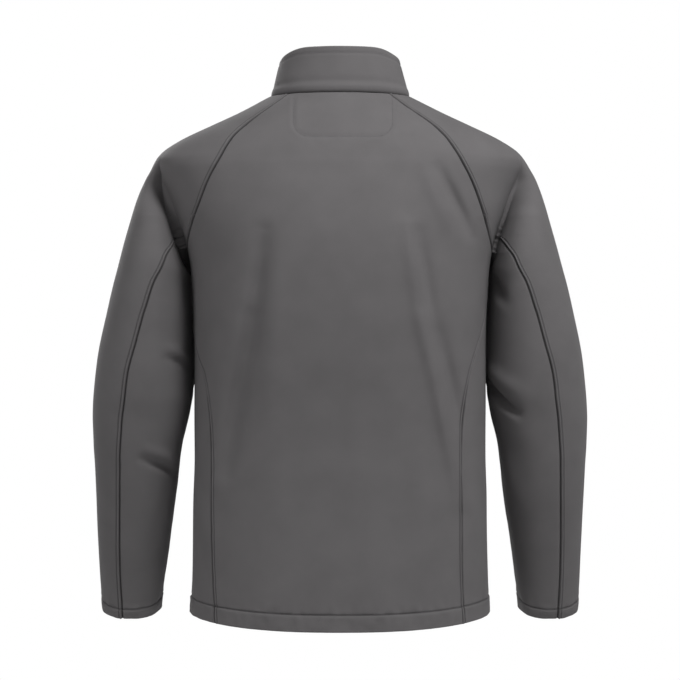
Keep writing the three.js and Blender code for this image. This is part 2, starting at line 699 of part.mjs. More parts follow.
function buildZip() {
  const far = ZIP_TAPE_FAR;
  const near = ZIP_TAPE_NEAR;
  const behind = (cloth) => cloth + ZIP_CLEAR;
  addPiece('zip_tape_left', zipStrip([near, far], behind, ZIP_TAPE_THICK), COLOURS.tape, TAPE);
  addPiece('zip_tape_right', zipStrip([-far, -near], behind, ZIP_TAPE_THICK), COLOURS.tape, TAPE);
  const chain = zipStrip([-ZIP_CHAIN_HALF, ZIP_CHAIN_HALF], () => 0, ZIP_CHAIN_THICK);
  addPiece('zip_chain', chain, COLOURS.tape, COIL);
}

const wasm = await Module();
wasm.setup();

function toSolid(geometry) {
  const bare = geometry.clone();
  bare.deleteAttribute('normal');
  bare.deleteAttribute('uv');
  const merged = mergeVertices(bare, 1e-4);
  const count = merged.attributes.position.count;
  const order = merged.index ? merged.index.array : Uint32Array.from({ length: count }, (_, i) => i);
  return new wasm.Manifold(new wasm.Mesh({
    numProp: 3,
    vertProperties: new Float32Array(merged.attributes.position.array),
    triVerts: new Uint32Array(order),
  }));
}

function fromSolid(solid) {
  const mesh = solid.getMesh();
  const geometry = new THREE.BufferGeometry();
  geometry.setAttribute('position', new THREE.Float32BufferAttribute(mesh.vertProperties, 3));
  geometry.setIndex(Array.from(mesh.triVerts));
  geometry.computeVertexNormals();
  return geometry;
}

// Outline with rounded corners, as a shape to extrude.
function roundedPlate(halfWidth, bottom, top, radius) {
  const shape = new THREE.Shape();
  shape.moveTo(-halfWidth + radius, bottom);
  shape.lineTo(halfWidth - radius, bottom);
  shape.quadraticCurveTo(halfWidth, bottom, halfWidth, bottom + radius);
  shape.lineTo(halfWidth, top - radius);
  shape.quadraticCurveTo(halfWidth, top, halfWidth - radius, top);
  shape.lineTo(-halfWidth + radius, top);
  shape.quadraticCurveTo(-halfWidth, top, -halfWidth, top - radius);
  shape.lineTo(-halfWidth, bottom + radius);
  shape.quadraticCurveTo(-halfWidth, bottom, -halfWidth + radius, bottom);
  return shape;
}

// Middle of the slider's front face, on the closed chain just below the top of the collar.
function sliderPlace() {
  const p = collarPoint(180, COLLAR_HEIGHT - SLIDER_BELOW_TOP);
  return new THREE.Vector3(0, p.y - ZIP_CLEAR - SLIDER_THICK, p.z);
}

// Slider: a rounded shell with a bridge on its face that the pull tab hangs from.
function buildSlider() {
  const place = sliderPlace();
  const half = SLIDER_HEIGHT / 2;
  const outline = roundedPlate(SLIDER_WIDTH / 2, -half, half, SLIDER_CORNER);
  const slab = { depth: SLIDER_THICK, bevelEnabled: false, curveSegments: 5 };
  const body = new THREE.ExtrudeGeometry(outline, slab);
  body.rotateX(Math.PI / 2).translate(place.x, place.y + SLIDER_THICK, place.z);
  const sunk = BRIDGE_SUNK;
  const bridge = new THREE.Shape();
  const tall = BRIDGE_HALF_HEIGHT;
  bridge.moveTo(sunk, -tall);
  bridge.lineTo(-BRIDGE_REACH + BRIDGE_CORNER, -tall);
  bridge.quadraticCurveTo(-BRIDGE_REACH, -tall, -BRIDGE_REACH, -tall + BRIDGE_CORNER);
  bridge.lineTo(-BRIDGE_REACH, tall - BRIDGE_CORNER);
  bridge.quadraticCurveTo(-BRIDGE_REACH, tall, -BRIDGE_REACH + BRIDGE_CORNER, tall);
  bridge.lineTo(sunk, tall);
  bridge.lineTo(sunk, tall - BRIDGE_LEG);
  bridge.lineTo(-BRIDGE_REACH + BRIDGE_LEG, tall - BRIDGE_LEG);
  bridge.lineTo(-BRIDGE_REACH + BRIDGE_LEG, -tall + BRIDGE_LEG);
  bridge.lineTo(sunk, -tall + BRIDGE_LEG);
  bridge.closePath();
  const bar = { depth: BRIDGE_WIDTH, bevelEnabled: false, curveSegments: 4 };
  const arch = new THREE.ExtrudeGeometry(bridge, bar);
  arch.translate(0, 0, -BRIDGE_WIDTH / 2);
  const turn = new THREE.Matrix4().makeBasis(
    new THREE.Vector3(0, 1, 0),
    new THREE.Vector3(0, 0, 1),
    new THREE.Vector3(1, 0, 0),
  );
  arch.applyMatrix4(turn).translate(place.x, place.y, place.z);
  addPiece('zip_slider', fromSolid(toSolid(body).add(toSolid(arch))), COLOURS.metal, METAL);
}

// Pull tab: a plate with an eye, hanging straight down from the bridge. It swings about X through its top
// bar.
function buildPull() {
  const place = sliderPlace();
  const half = PULL_WIDTH / 2;
  const plate = roundedPlate(half, -PULL_LENGTH, PULL_THICK / 2, PULL_CORNER);
  const eye = new THREE.Path();
  eye.moveTo(-PULL_EYE_HALF_WIDTH, -PULL_THICK / 2);
  eye.lineTo(-PULL_EYE_HALF_WIDTH, -PULL_EYE_LENGTH);
  eye.lineTo(PULL_EYE_HALF_WIDTH, -PULL_EYE_LENGTH);
  eye.lineTo(PULL_EYE_HALF_WIDTH, -PULL_THICK / 2);
  eye.closePath();
  plate.holes.push(eye);
  const slab = { depth: PULL_THICK, bevelEnabled: false, curveSegments: 3 };
  const geometry = new THREE.ExtrudeGeometry(plate, slab);
  geometry.translate(0, 0, -PULL_THICK / 2).rotateX(Math.PI / 2);
  geometry.translate(place.x, place.y - PULL_AXIS_OUT, place.z);
  addPiece('zip_pull', geometry, COLOURS.metal, METAL);
}

buildBack();
buildSide(1);
buildSide(-1);
buildFront(1);
buildFront(-1);
buildSleeves();
buildCollar();
buildZip();
buildSlider();
buildPull();

export default jacket;
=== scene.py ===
import math
from functools import partial

import bmesh
import bpy
import numpy as np
from mathutils import Matrix, Vector, noise


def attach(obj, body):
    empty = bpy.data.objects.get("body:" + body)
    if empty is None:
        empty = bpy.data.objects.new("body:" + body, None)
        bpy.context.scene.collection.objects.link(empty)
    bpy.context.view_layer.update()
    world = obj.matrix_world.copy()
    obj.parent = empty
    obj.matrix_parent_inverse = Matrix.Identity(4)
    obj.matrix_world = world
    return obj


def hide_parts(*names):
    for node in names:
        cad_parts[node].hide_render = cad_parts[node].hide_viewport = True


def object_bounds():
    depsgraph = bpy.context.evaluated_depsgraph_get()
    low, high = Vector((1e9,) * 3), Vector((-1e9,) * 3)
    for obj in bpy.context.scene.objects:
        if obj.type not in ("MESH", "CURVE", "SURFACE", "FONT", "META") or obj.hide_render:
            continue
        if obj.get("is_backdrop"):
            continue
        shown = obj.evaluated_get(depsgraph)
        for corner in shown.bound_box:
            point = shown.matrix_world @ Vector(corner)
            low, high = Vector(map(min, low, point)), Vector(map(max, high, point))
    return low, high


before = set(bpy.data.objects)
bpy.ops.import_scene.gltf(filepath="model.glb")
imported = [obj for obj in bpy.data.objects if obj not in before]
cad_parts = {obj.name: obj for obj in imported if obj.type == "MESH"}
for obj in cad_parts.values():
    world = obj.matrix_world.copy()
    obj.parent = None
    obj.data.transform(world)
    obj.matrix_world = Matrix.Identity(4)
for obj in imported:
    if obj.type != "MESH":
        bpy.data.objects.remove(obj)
cad_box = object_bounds()

# Back panel. One piece of softshell, a stretch woven polyester face bonded to a thin knitted back,
# cut with curved raglan edges, sewn to the sleeves and side panels, and turned up and stitched at the hem.
MM = 0.001
CLOTH_THICK = 1.1
UNDERARM_Z = -235.0
HEM_Z = -693.0
HEM_BAND = 22.0
HEM_DROP_BACK = 12.0
NECK_DROP_FRONT = 62.0

# Horizontal sections of the body: height, half width, depth behind and in front of the side line, squareness.
BODY = np.array([
    (0, 94, 70, 76, 2.1), (-10, 112, 79, 84, 2.1), (-22, 136, 88, 93, 2.12), (-40, 174, 99, 103, 2.15),
    (-60, 216, 110, 112, 2.18), (-76, 240, 118, 119, 2.2), (-88, 250, 123, 123, 2.2),
    (-97, 248, 127, 126, 2.2), (-110, 241, 131, 130, 2.22), (-130, 231, 137, 134, 2.23),
    (-150, 223.5, 142, 138, 2.25), (-185, 211.5, 148, 144, 2.28), (-202, 206.5, 149.5, 146, 2.3),
    (-235, 200.5, 150.5, 149, 2.32), (-288, 197.2, 149, 151, 2.35), (-350, 196, 144, 151.5, 2.35),
    (-420, 195.9, 137, 150, 2.36), (-480, 195.9, 134, 149, 2.38), (-544, 197.6, 134, 148, 2.4),
    (-620, 198.4, 137, 148, 2.4), (-693, 200.7, 140, 149, 2.4),
])
# Back raglan seams, left and right, as they lie across the back: height, distance from the centre line.
RAGLAN_ACROSS = np.array([
    (0, 68, 64), (-12, 82.5, 79), (-25, 99.6, 96.3), (-38, 116.7, 113.8), (-50, 130.2, 128),
    (-61, 140.4, 138), (-74, 148.9, 147.2), (-88, 156.1, 155.6), (-102, 163.9, 163.2),
    (-116, 171.6, 170.5), (-130, 178, 176.9), (-144, 183.6, 182.4), (-159, 189.6, 187.8),
    (-174, 195.6, 192.6), (-188, 200.4, 196.9), (-200, 204.2, 200.6),
])
# Their last stretch, in under the arm: height, angle from the centre back.
RAGLAN_FOOT = np.array([(-200, 79.9, 74.7), (-212, 86, 83), (-224, 89.8, 88.8), (-235, 92, 92)])
# Height, then angles from the centre back, of the front raglan seams and of the folds back and front, where
# the cloth turns in between the body and the arm.
RAGLAN = np.array([
    (0, 119, 60, 112), (-14, 126, 60, 114), (-25, 131, 60, 116), (-36, 134.5, 61.5, 117.5),
    (-47, 137.5, 63, 117), (-60, 141, 65, 115), (-74, 143, 68, 111.5), (-89, 143.5, 72, 108),
    (-104, 139.5, 76.5, 103.5), (-119, 135, 80, 100), (-136, 130, 80.8, 99.2), (-152, 125.5, 81.3, 98.8),
    (-168, 120, 81.8, 98.6), (-184, 113, 82.4, 98.4), (-198, 103, 82.8, 98.1), (-212, 97.5, 83, 98),
    (-224, 94.5, 83, 98), (-235, 92, 83, 98),
])
# Side panel seams: height, angle of the left and right back seams, angle of both front seams.
SIDE_SEAMS = np.array([
    (-235, 92, 92, 92), (-245, 91, 89.5, 94), (-270, 89.5, 85, 99), (-305, 86.5, 75.6, 105),
    (-341, 76, 65, 111), (-372, 64.8, 58.4, 114), (-407, 60.4, 54.4, 116), (-446, 57.8, 51.8, 118),
    (-511, 56.5, 51, 119), (-616, 54.6, 50.6, 120), (-693, 51, 51, 120),
])
# Soft folds of the body: ends across and up, width, depth (negative is a ridge), side (1 back, -1 front).
BODY_FOLDS = [
    (98, -188, 118, -340, 12, 7.5, 1), (112, -300, 152, -500, 13, 11, 1), (78, -200, 96, -420, 17, -4, 1),
    (-87, -180, -110, -340, 11, -6, 1), (-108, -300, -158, -540, 11, -9, 1),
    (-103, -190, -126, -340, 9, 5, 1), (-130, -320, -156, -440, 10, 8, 1),
    (-128, -104, -172, -192, 9, 8, 1), (-106, -96, -150, -196, 12, -4, 1),
    (184, -530, 174, -610, 12, -3, 1), (-178, -520, -172, -612, 12, -2, 1), (40, -420, 62, -640, 34, 2, 1),
    (-40, -380, -70, -640, 30, 2, 1), (-96, -150, -142, -420, 19, 5, -1), (92, -160, 138, -400, 18, 4.5, -1),
    (70, -420, 100, -600, 20, 3.5, -1), (-74, -450, -92, -620, 18, 3.5, -1),
    (-120, -300, -100, -520, 20, -3, -1), (116, -250, 96, -470, 18, -3, -1),
    (150, -480, 172, -620, 14, 3, -1),
]


def at(table, column, z):
    """A column's value at a height, on a smooth curve that never overshoots its rows."""
    heights, values = table[:, 0], table[:, column]
    slope = np.diff(values) / np.diff(heights)
    product = slope[:-1] * slope[1:]
    total = slope[:-1] + slope[1:]
    inner = np.where(product > 0, 2 * product / np.where(total == 0, 1, total), 0)
    tangent = np.concatenate([slope[:1], inner, slope[-1:]])
    z = np.clip(z, heights[-1], heights[0])
    i = np.clip(np.searchsorted(-heights, -z, side="right") - 1, 0, len(heights) - 2)
    span = heights[i + 1] - heights[i]
    t = (z - heights[i]) / span
    rise = t * t * (3 - 2 * t)
    bend = t * (1 - t) ** 2 * tangent[i] - t * t * (1 - t) * tangent[i + 1]
    return values[i] * (1 - rise) + values[i + 1] * rise + span * bend


def smoothstep(start, stop, value):
    t = np.clip((value - start) / (stop - start), 0, 1)
    return t * t * (3 - 2 * t)


def squared(value, power):
    return np.sign(value) * np.abs(value) ** power


def trough(u, v, fold):
    """Depth of one soft fold at a place: deepest at the middle of its line, dying out at its ends."""
    u1, v1, u2, v2, width, depth = fold[:6]
    du, dv = u2 - u1, v2 - v1
    held = np.clip(((u - u1) * du + (v - v1) * dv) / (du * du + dv * dv), 0, 1)
    off = np.hypot(u - u1 - held * du, v - v1 - held * dv) / width
    return depth * np.exp(-off * off) * (0.35 + 0.65 * np.sin(np.pi * held))


def body_point(z, angle):
    """Point of the body's outer face at a height and an angle from the centre back, with its soft folds."""
    z, angle = np.broadcast_arrays(z, angle)
    turn = np.radians(np.abs(angle))
    power = 2 / at(BODY, 4, z)
    cos = squared(np.cos(turn), power)
    depth = np.where(cos > 0, at(BODY, 2, z), at(BODY, 3, z))
    x = np.sign(angle) * at(BODY, 1, z) * squared(np.maximum(np.sin(turn), 0), power)
    y = depth * cos
    neck = NECK_DROP_FRONT * (1 - smoothstep(0, -UNDERARM_Z, -z)) * np.maximum(-cos, 0) ** 1.6
    tail = HEM_DROP_BACK * smoothstep(450, -HEM_Z, -z) * np.maximum(cos, 0) ** 2
    z = z - neck - tail
    side = np.where(y > 0, 1, -1)
    press = sum(trough(x, z, fold) * (side == fold[6]) for fold in BODY_FOLDS)
    return np.stack([x, y - side * press * smoothstep(0, 60, np.abs(y)), z], axis=-1)


def lengths(points, axis):
    """Running length of the grid lines along an axis."""
    step = np.linalg.norm(np.diff(points, axis=axis), axis=-1)
    return np.concatenate([np.zeros_like(np.take(step, [0], axis)), np.cumsum(step, axis)], axis)


# Columns near a seam lie at these distances from it, so that its roll and its topstitching have their shape.
NEAR_SEAM = np.array([0, 0.45, 0.9, 1.4, 2.0, 2.8, 3.5, 4.0, 4.5, 5.0, 5.6, 6.6, 8.4, 11.0])
STITCH_AT = 4.5
# Share of a panel's middle columns that keep their places, and how far round a fold columns lie closer.
STEADY_SHARE = 0.42
FINER_REACH = 16.0


def laid(surface, heights, first, last, middle, finer_at=None, finer=0.0, steady=None):
    """Grid of points on a surface between two seams, given as their places at each height. Columns lie closer
    round the place finer_at, by as much as finer says, and slide with the last seam only beyond steady."""
    share = np.linspace(0, 1, 700)
    param = first[:, None] + (last - first)[:, None] * share
    dense = surface(heights[:, None], param)
    run = lengths(dense, 1)
    whole = run[:, -1]
    near = []
    edges = ((dense[:, 0], dense[:, 3] - dense[:, 0]), (dense[:, -1], dense[:, -4] - dense[:, -1]))
    for edge, along in edges:
        down = np.gradient(edge, axis=0)
        across = np.cross(down, along)
        sine = np.linalg.norm(across, axis=1) / np.maximum(
            np.linalg.norm(down, axis=1) * np.linalg.norm(along, axis=1), 1e-9)
        sine = np.clip(np.convolve(np.pad(sine, 3, mode="edge"), np.ones(7) / 7, "valid"), 0.4, 1)
        reach = np.minimum(1 / sine, 0.42 * whole / NEAR_SEAM[-1])
        near.append((reach[:, None] * NEAR_SEAM, sine))
    left, right = near[0][0], whole[:, None] - near[1][0][:, ::-1]
    inner = np.linspace(0, 1, middle + 2)[1:-1]
    between = left[:, -1:] + (right[:, :1] - left[:, -1:]) * inner
    if finer_at is not None:
        held = 0 if steady is None else int(STEADY_SHARE * middle)
        rest = np.linspace(0, 1, middle - held + 2)[1:-1]
        for r, (line, at_run) in enumerate(zip(between, finer_at)):
            begin = left[r, -1] if steady is None else steady[r]
            even = np.linspace(begin, right[r, 0], 400)
            weight = 1 + finer[r] * np.exp(-((even - at_run) / FINER_REACH) ** 2)
            total = np.concatenate([[0], np.cumsum((weight[1:] + weight[:-1]) / 2)])
            line[:held] = np.linspace(left[r, -1], begin, held + 1)[1:]
            line[held:] = np.interp(rest * total[-1], total, even)
    spots = np.concatenate([left, between, right], axis=1)
    place = np.stack([np.interp(s, r, p) for s, r, p in zip(spots, run, param)])
    points = surface(heights[:, None], place)
    # The faces look out of the surface itself, because columns that slant with a seam would tilt them.
    level = np.broadcast_to(heights[:, None], place.shape)
    step = np.sign(last - first)[:, None] * np.minimum(0.002 * np.abs(last - first), 0.25)[:, None]
    down = surface(level - 0.4, place) - surface(level + 0.4, place)
    normals = np.cross(down, surface(level, place + step) - surface(level, place - step))
    return {
        "points": points,
        "normals": normals / np.maximum(np.linalg.norm(normals, axis=-1, keepdims=True), 1e-9),
        "first": spots * near[0][1][:, None],
        "last": (whole[:, None] - spots) * near[1][1][:, None],
        "top": lengths(points, 0),
        "place": place,
    }


def outward(points):
    """Normals of a grid whose rows run down and whose columns run to the right, seen from outside."""
    normal = np.cross(np.gradient(points, axis=0), np.gradient(points, axis=1))
    return normal / np.maximum(np.linalg.norm(normal, axis=-1, keepdims=True), 1e-9)


SEAM_SUNK, SEAM_ROLL_WIDE = 2.0, 1.3
ALLOWANCE_HIGH = 0.9
STITCHES_SUNK, STITCHES_WIDE = 1.3, 0.95


def seam_roll(distance, topstitched):
    """How far cloth stands out near a seam: it rolls in at the seam, and on the side that carries the
    topstitching it lies on the doubled allowance and is drawn in at the stitches."""
    roll = -SEAM_SUNK * np.exp(-(distance / SEAM_ROLL_WIDE) ** 2)
    raised = (1 - smoothstep(STITCH_AT + 0.2, STITCH_AT + 2.0, distance)) * smoothstep(0.5, 2.0, distance)
    drawn = -STITCHES_SUNK * np.exp(-((distance - STITCH_AT) / STITCHES_WIDE) ** 2)
    return roll + (ALLOWANCE_HIGH * raised + drawn) * np.asarray(topstitched)


def pucker(points, near, wave, size, seed):
    """Small uneven puckers of sewn cloth, at their full size where near is 1."""
    flat = points.reshape(-1, 3)
    rough = np.array([noise.noise(Vector(p) / wave + Vector((seed, seed, seed))) for p in flat])
    return size * rough.reshape(points.shape[:-1]) * near


def turned_in(points, normals, marks, depth, rows_up):
    """The grid carried round its lower edge and back up inside, as a hem is turned."""
    edge, out = points[-1], normals[-1]
    down = points[-1] - points[-2]
    down /= np.linalg.norm(down, axis=-1, keepdims=True)
    radius = depth / 2
    extra = [edge - out * radius * (1 - math.cos(a)) + down * radius * math.sin(a)
             for a in np.radians((30, 60, 90, 120, 150, 180))]
    source = [-1] * len(extra)
    for row in range(len(points) - 2, len(points) - 2 - rows_up, -1):
        extra.append(points[row] - normals[row] * depth)
        source.append(row)
    points = np.concatenate([points, np.stack(extra)])
    return points, {key: np.concatenate([value, value[source]]) for key, value in marks.items()}


def placed(name, data):
    """A new object in the scene."""
    piece = bpy.data.objects.new(name, data)
    bpy.context.collection.objects.link(piece)
    return piece


def cloth_mesh(name, points, marks):
    """A mesh of the grid, in metres, with each mark kept as a value of its vertices."""
    rows, columns = points.shape[:2]
    bm = bmesh.new()
    bmesh.ops.create_grid(bm, x_segments=columns - 1, y_segments=rows - 1, size=1.0)
    thread = bm.verts.layers.float_vector.new("thread")
    layers = {key: bm.verts.layers.float.new(key) for key in marks}
    across, down = lengths(points, 1), lengths(points, 0)
    across -= across[:, columns // 2:columns // 2 + 1]
    for vert in bm.verts:
        c = round((vert.co.x + 1) / 2 * (columns - 1))
        r = round((1 - vert.co.y) / 2 * (rows - 1))
        vert.co = points[r, c] * MM
        vert[thread] = (across[r, c], down[r, c], 0)
        for key, layer in layers.items():
            vert[layer] = marks[key][r, c]
    bm.faces.ensure_lookup_table()
    bm.normal_update()
    middle = bm.faces[len(bm.faces) // 2]
    spot = np.array(middle.calc_center_median()) / MM
    gap = np.linalg.norm(points - spot, axis=-1)
    nearest = np.unravel_index(np.argmin(gap), gap.shape)
    if middle.normal.dot(Vector(outward(points)[nearest])) < 0:
        bmesh.ops.reverse_faces(bm, faces=bm.faces)
    mesh = bpy.data.meshes.new(name)
    bm.to_mesh(mesh)
    bm.free()
    mesh.shade_smooth()
    return placed(name, mesh)


def thickened(piece, thickness):
    wall = piece.modifiers.new("wall", "SOLIDIFY")
    wall.thickness = thickness * MM
    wall.offset = -1.0
    wall.use_even_offset = False
    return piece


def linear(hexcode):
    """An sRGB hex colour as linear RGBA."""
    parts = [int(hexcode[i:i + 2], 16) / 255 for i in (1, 3, 5)]
    return tuple(c / 12.92 if c <= 0.04045 else ((c + 0.055) / 1.055) ** 2.4 for c in parts) + (1.0,)


def add_node(tree, kind, settings=None, **inputs):
    """A node of a tree, with its settings and its inputs, each a value or another node's output."""
    node = tree.nodes.new(kind)
    for key, value in (settings or {}).items():
        setattr(node, key, value)
    for key, value in inputs.items():
        socket = node.inputs[int(key[1:]) if key[0] == "i" and key[1:].isdigit() else key.replace("_", " ")]
        if isinstance(value, bpy.types.NodeSocket):
            tree.links.new(value, socket)
        else:
            socket.default_value = value
    return node


def new_material(name):
    material = bpy.data.materials.new(name)
    material.use_nodes = True
    return material, material.node_tree, material.node_tree.nodes["Principled BSDF"]


def softshell(name, base, light, dark):
    """Woven stretch polyester, piece dyed and calendered matt. It scatters light evenly, has a faint sheen
    of fibre at grazing angles, and looks even from a step away, a little mottled close to."""
    material, tree, shader = new_material(name)
    place = add_node(tree, "ShaderNodeTexCoord").outputs["Object"]
    thread = add_node(tree, "ShaderNodeAttribute", {"attribute_name": "thread"}).outputs["Vector"]
    seam = add_node(tree, "ShaderNodeAttribute", {"attribute_name": "seam"}).outputs["Fac"]
    groove = add_node(tree, "ShaderNodeAttribute", {"attribute_name": "groove"}).outputs["Fac"]
    # Dye takes unevenly over patches of about 40 mm, and from thread to thread.
    patches = add_node(tree, "ShaderNodeTexNoise", Vector=place, Scale=24.0, Detail=3.0).outputs["Fac"]
    fibres = add_node(tree, "ShaderNodeTexNoise", Vector=thread, Scale=0.55, Detail=2.0).outputs["Fac"]
    patches = add_node(tree, "ShaderNodeMapRange", Value=patches, From_Min=0.3, From_Max=0.7)
    tone = add_node(tree, "ShaderNodeMix", {"data_type": "RGBA"}, Factor=patches.outputs[0],
                    i6=linear(dark), i7=linear(light))
    melange = add_node(tree, "ShaderNodeMapRange", Value=fibres, From_Min=0.35, From_Max=0.65,
                       To_Min=0.0, To_Max=0.35).outputs[0]
    colour = add_node(tree, "ShaderNodeMix", {"data_type": "RGBA"}, Factor=melange, i6=tone.outputs[2],
                      i7=linear(base))
    # Painted shade: the seam line lies deep, and its colour and that of the topstitching groove are darkened
    # towards near black, standing in for the shade in these creases.
    seam_shade = add_node(tree, "ShaderNodeMapRange", Value=seam, From_Min=0.3, From_Max=1.8,
                     To_Min=0.72, To_Max=0.0).outputs[0]
    groove_shade = add_node(tree, "ShaderNodeMapRange", Value=groove, From_Min=0.3, From_Max=1.3,
                      To_Min=0.5, To_Max=0.0).outputs[0]
    painted_shade = add_node(tree, "ShaderNodeMath", {"operation": "MAXIMUM"}, i0=seam_shade, i1=groove_shade).outputs[0]
    shaded = add_node(tree, "ShaderNodeMix", {"data_type": "RGBA"}, Factor=painted_shade, i6=colour.outputs[2],
                      i7=linear("#1c1b1c"))
    tree.links.new(shaded.outputs[2], shader.inputs["Base Color"])
    # Plain weave of 0.45 mm threads, drawn at 0.9 mm so that it holds at this picture's size.
    weave_pitch = 0.9
    split = add_node(tree, "ShaderNodeSeparateXYZ", Vector=thread)
    waves = []
    for output in split.outputs[:2]:
        turn = add_node(tree, "ShaderNodeMath", {"operation": "MULTIPLY"}, i0=output,
                        i1=2 * math.pi / weave_pitch)
        waves.append(add_node(tree, "ShaderNodeMath", {"operation": "SINE"}, i0=turn.outputs[0]).outputs[0])
    weave = add_node(tree, "ShaderNodeMath", {"operation": "MULTIPLY"}, i0=waves[0], i1=waves[1]).outputs[0]
    relief = add_node(tree, "ShaderNodeMath", {"operation": "ADD"}, i0=weave, i1=fibres).outputs[0]
    bump = add_node(tree, "ShaderNodeBump", Height=relief, Strength=0.12, Distance=0.0002)
    tree.links.new(bump.outputs[0], shader.inputs["Normal"])
    rough = add_node(tree, "ShaderNodeMapRange", Value=fibres, To_Min=0.74, To_Max=0.88).outputs[0]
    tree.links.new(rough, shader.inputs["Roughness"])
    shader.inputs["Sheen Weight"].default_value = 0.04
    shader.inputs["Sheen Roughness"].default_value = 0.5
    shader.inputs["Specular IOR Level"].default_value = 0.15
    return material


shell_cloth = softshell("softshell_woven_polyester", "#5b595a", "#5d5b5c", "#585657")

# Levels of the panels: close together at the neck, where the sleeve seam runs nearly level, and at the hem.
UPPER_HEIGHTS = np.concatenate([
    [0, -0.5, -1.1, -1.9, -3, -4.6, -6.8], np.arange(-9, -100, -2.3), np.arange(-100, -159, -4),
    np.arange(-161, -214, -1), np.arange(-214, -234.5, -3)])
HEM_STITCH_Z = -670.7
LOWER_HEIGHTS = np.concatenate([
    np.arange(-236, -662, -4.4), [-665, -667.4, -669, -670, HEM_STITCH_Z, -671.4, -672.2, -673.4, -676, -680,
                                  -684, -688, -690.4, -691.7]])
BODY_HEIGHTS = np.concatenate([UPPER_HEIGHTS, LOWER_HEIGHTS])


def row_at(heights, z):
    """Row of the level nearest to a height."""
    return int(np.argmin(np.abs(heights - z)))


HEM_STITCH_ROW = row_at(BODY_HEIGHTS, HEM_STITCH_Z)
HEM_BAND_HIGH = 1.4
HEM_STITCHES_SUNK = 1.1
HEM_PUCKER_HIGH, HEM_PUCKER_WAVE = 1.5, 11.0
HEM_TURN = 2.6
# Puckers of a seam die out over this distance.
PUCKER_REACH = 14.0
# However its seams, stitches and puckers add up, cloth is drawn in no deeper than this.
DEEPEST = -2.2
# Distance given to places that have no stitches near.
NONE_NEAR = 9.0


def shell_piece(name, points, marks):
    piece = thickened(cloth_mesh(name, points, marks), CLOTH_THICK)
    piece.data.materials.append(shell_cloth)
    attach(piece, "jacket")
    return piece


def hem_shape(points, heights, stitch_z, band):
    """Turned band below its stitches: doubled cloth stands out, the stitches draw it in, and it puckers."""
    below = smoothstep(stitch_z + 0.6, stitch_z - 2.4, heights)[:, None]
    drawn = -HEM_STITCHES_SUNK * np.exp(-(heights - stitch_z) ** 2)[:, None]
    near = np.exp(-((heights - stitch_z) / HEM_PUCKER_WAVE) ** 2)
    near = np.maximum(near, 0.6 * (heights < stitch_z))[:, None]
    return band * below + drawn + pucker(points, near, HEM_PUCKER_WAVE, HEM_PUCKER_HIGH, 3.7)


def beside(points, path):
    """Distance of the points of a grid from a path, seen along Y."""
    gap = np.full(points.shape[:2], 1e9)
    for p, q in zip(path[:-1, (0, 2)], path[1:, (0, 2)]):
        way = q - p
        share = np.clip(((points[..., (0, 2)] - p) @ way) / (way @ way), 0, 1)
        gap = np.minimum(gap, np.linalg.norm(points[..., (0, 2)] - p - share[..., None] * way, axis=-1))
    return gap


def sewn(grid, seams, heights, stitch_z, band_high):
    """How far a laid grid stands out at its seams, its hem and the stitches of both, how near a seam each
    place is, from 0 to 1, and the marks of seams and stitches that the material reads."""
    out = hem_shape(grid["points"], heights, stitch_z, band_high)
    seam = np.minimum(grid["first"], grid["last"])
    near = np.exp(-seam / PUCKER_REACH)
    groove = np.minimum(NONE_NEAR, np.abs(heights - stitch_z)[:, None])
    for side, topstitched in seams.items():
        topstitched = np.broadcast_to(topstitched, len(heights))[:, None]
        out += seam_roll(grid[side], topstitched)
        groove = np.minimum(groove, np.abs(grid[side] - STITCH_AT) + NONE_NEAR * (topstitched < 0.5))
    if heights[0] == 0:
        out += seam_roll(grid["top"], 0)
        seam = np.minimum(seam, grid["top"])
    return out, near, {"seam": seam, "groove": groove}


# The stitched line of the neck facing: how far it is drawn in and how widely, and the ridge beside it.
LINE_SUNK, LINE_WIDE = 0.9, 1.9
RIDGE_HIGH, RIDGE_AT, RIDGE_WIDE = 0.4, 5.0, 3.5


def finished_panel(name, grid, seams, heights, seed, line=None):
    """Panel from its laid grid: seams rolled and topstitched, neck edge tucked in, hem turned, and drawn in
    along a line of stitching if it has one."""
    points, normals = grid["points"], grid["normals"]
    out, near, marks = sewn(grid, seams, heights, HEM_Z + HEM_BAND, HEM_BAND_HIGH)
    out += pucker(points, near, 15.0, 0.6, seed)
    out += pucker(points, np.ones_like(near), 90.0, 0.8, seed + 5.1)
    if line is not None:
        gap = beside(points, line)
        out += RIDGE_HIGH * np.exp(-((gap - RIDGE_AT) / RIDGE_WIDE) ** 2)
        out += pucker(points, np.exp(-gap / 10.0), 11.0, 0.7, seed + 2.2)
        out -= LINE_SUNK * np.exp(-(gap / LINE_WIDE) ** 2)
        marks["groove"] = np.minimum(marks["groove"], gap + 0.45)
    outer = points + normals * np.maximum(out, DEEPEST)[..., None]
    points, marks = turned_in(outer, normals, marks, HEM_TURN, 10)
    return shell_piece(name, points, marks), outer


STITCH_PITCH = 3.0
STITCH_LENGTH = 2.3
STITCH_RADIUS = 0.3


def points_at(path, run, spots):
    """Points of a path at running lengths from its start."""
    return np.stack([np.interp(spots, run, path[:, k]) for k in range(3)], 1)


def stitch_places(path):
    """Places of the lockstitches along a path, each a short bead of thread."""
    run = lengths(path[:, None], 0)[:, 0]
    spots = np.arange(STITCH_PITCH / 2, run[-1] - STITCH_PITCH / 2, STITCH_PITCH)
    along, ahead = points_at(path, run, spots), points_at(path, run, spots + 0.5)
    size = Matrix.Diagonal((STITCH_RADIUS * MM, STITCH_RADIUS * MM, STITCH_LENGTH / 2 * MM, 1))
    turns = [Vector(q - p).to_track_quat("Z", "Y").to_matrix().to_4x4() for p, q in zip(along, ahead)]
    return [Matrix.Translation(Vector(p) * MM) @ turn @ size for p, turn in zip(along, turns)]


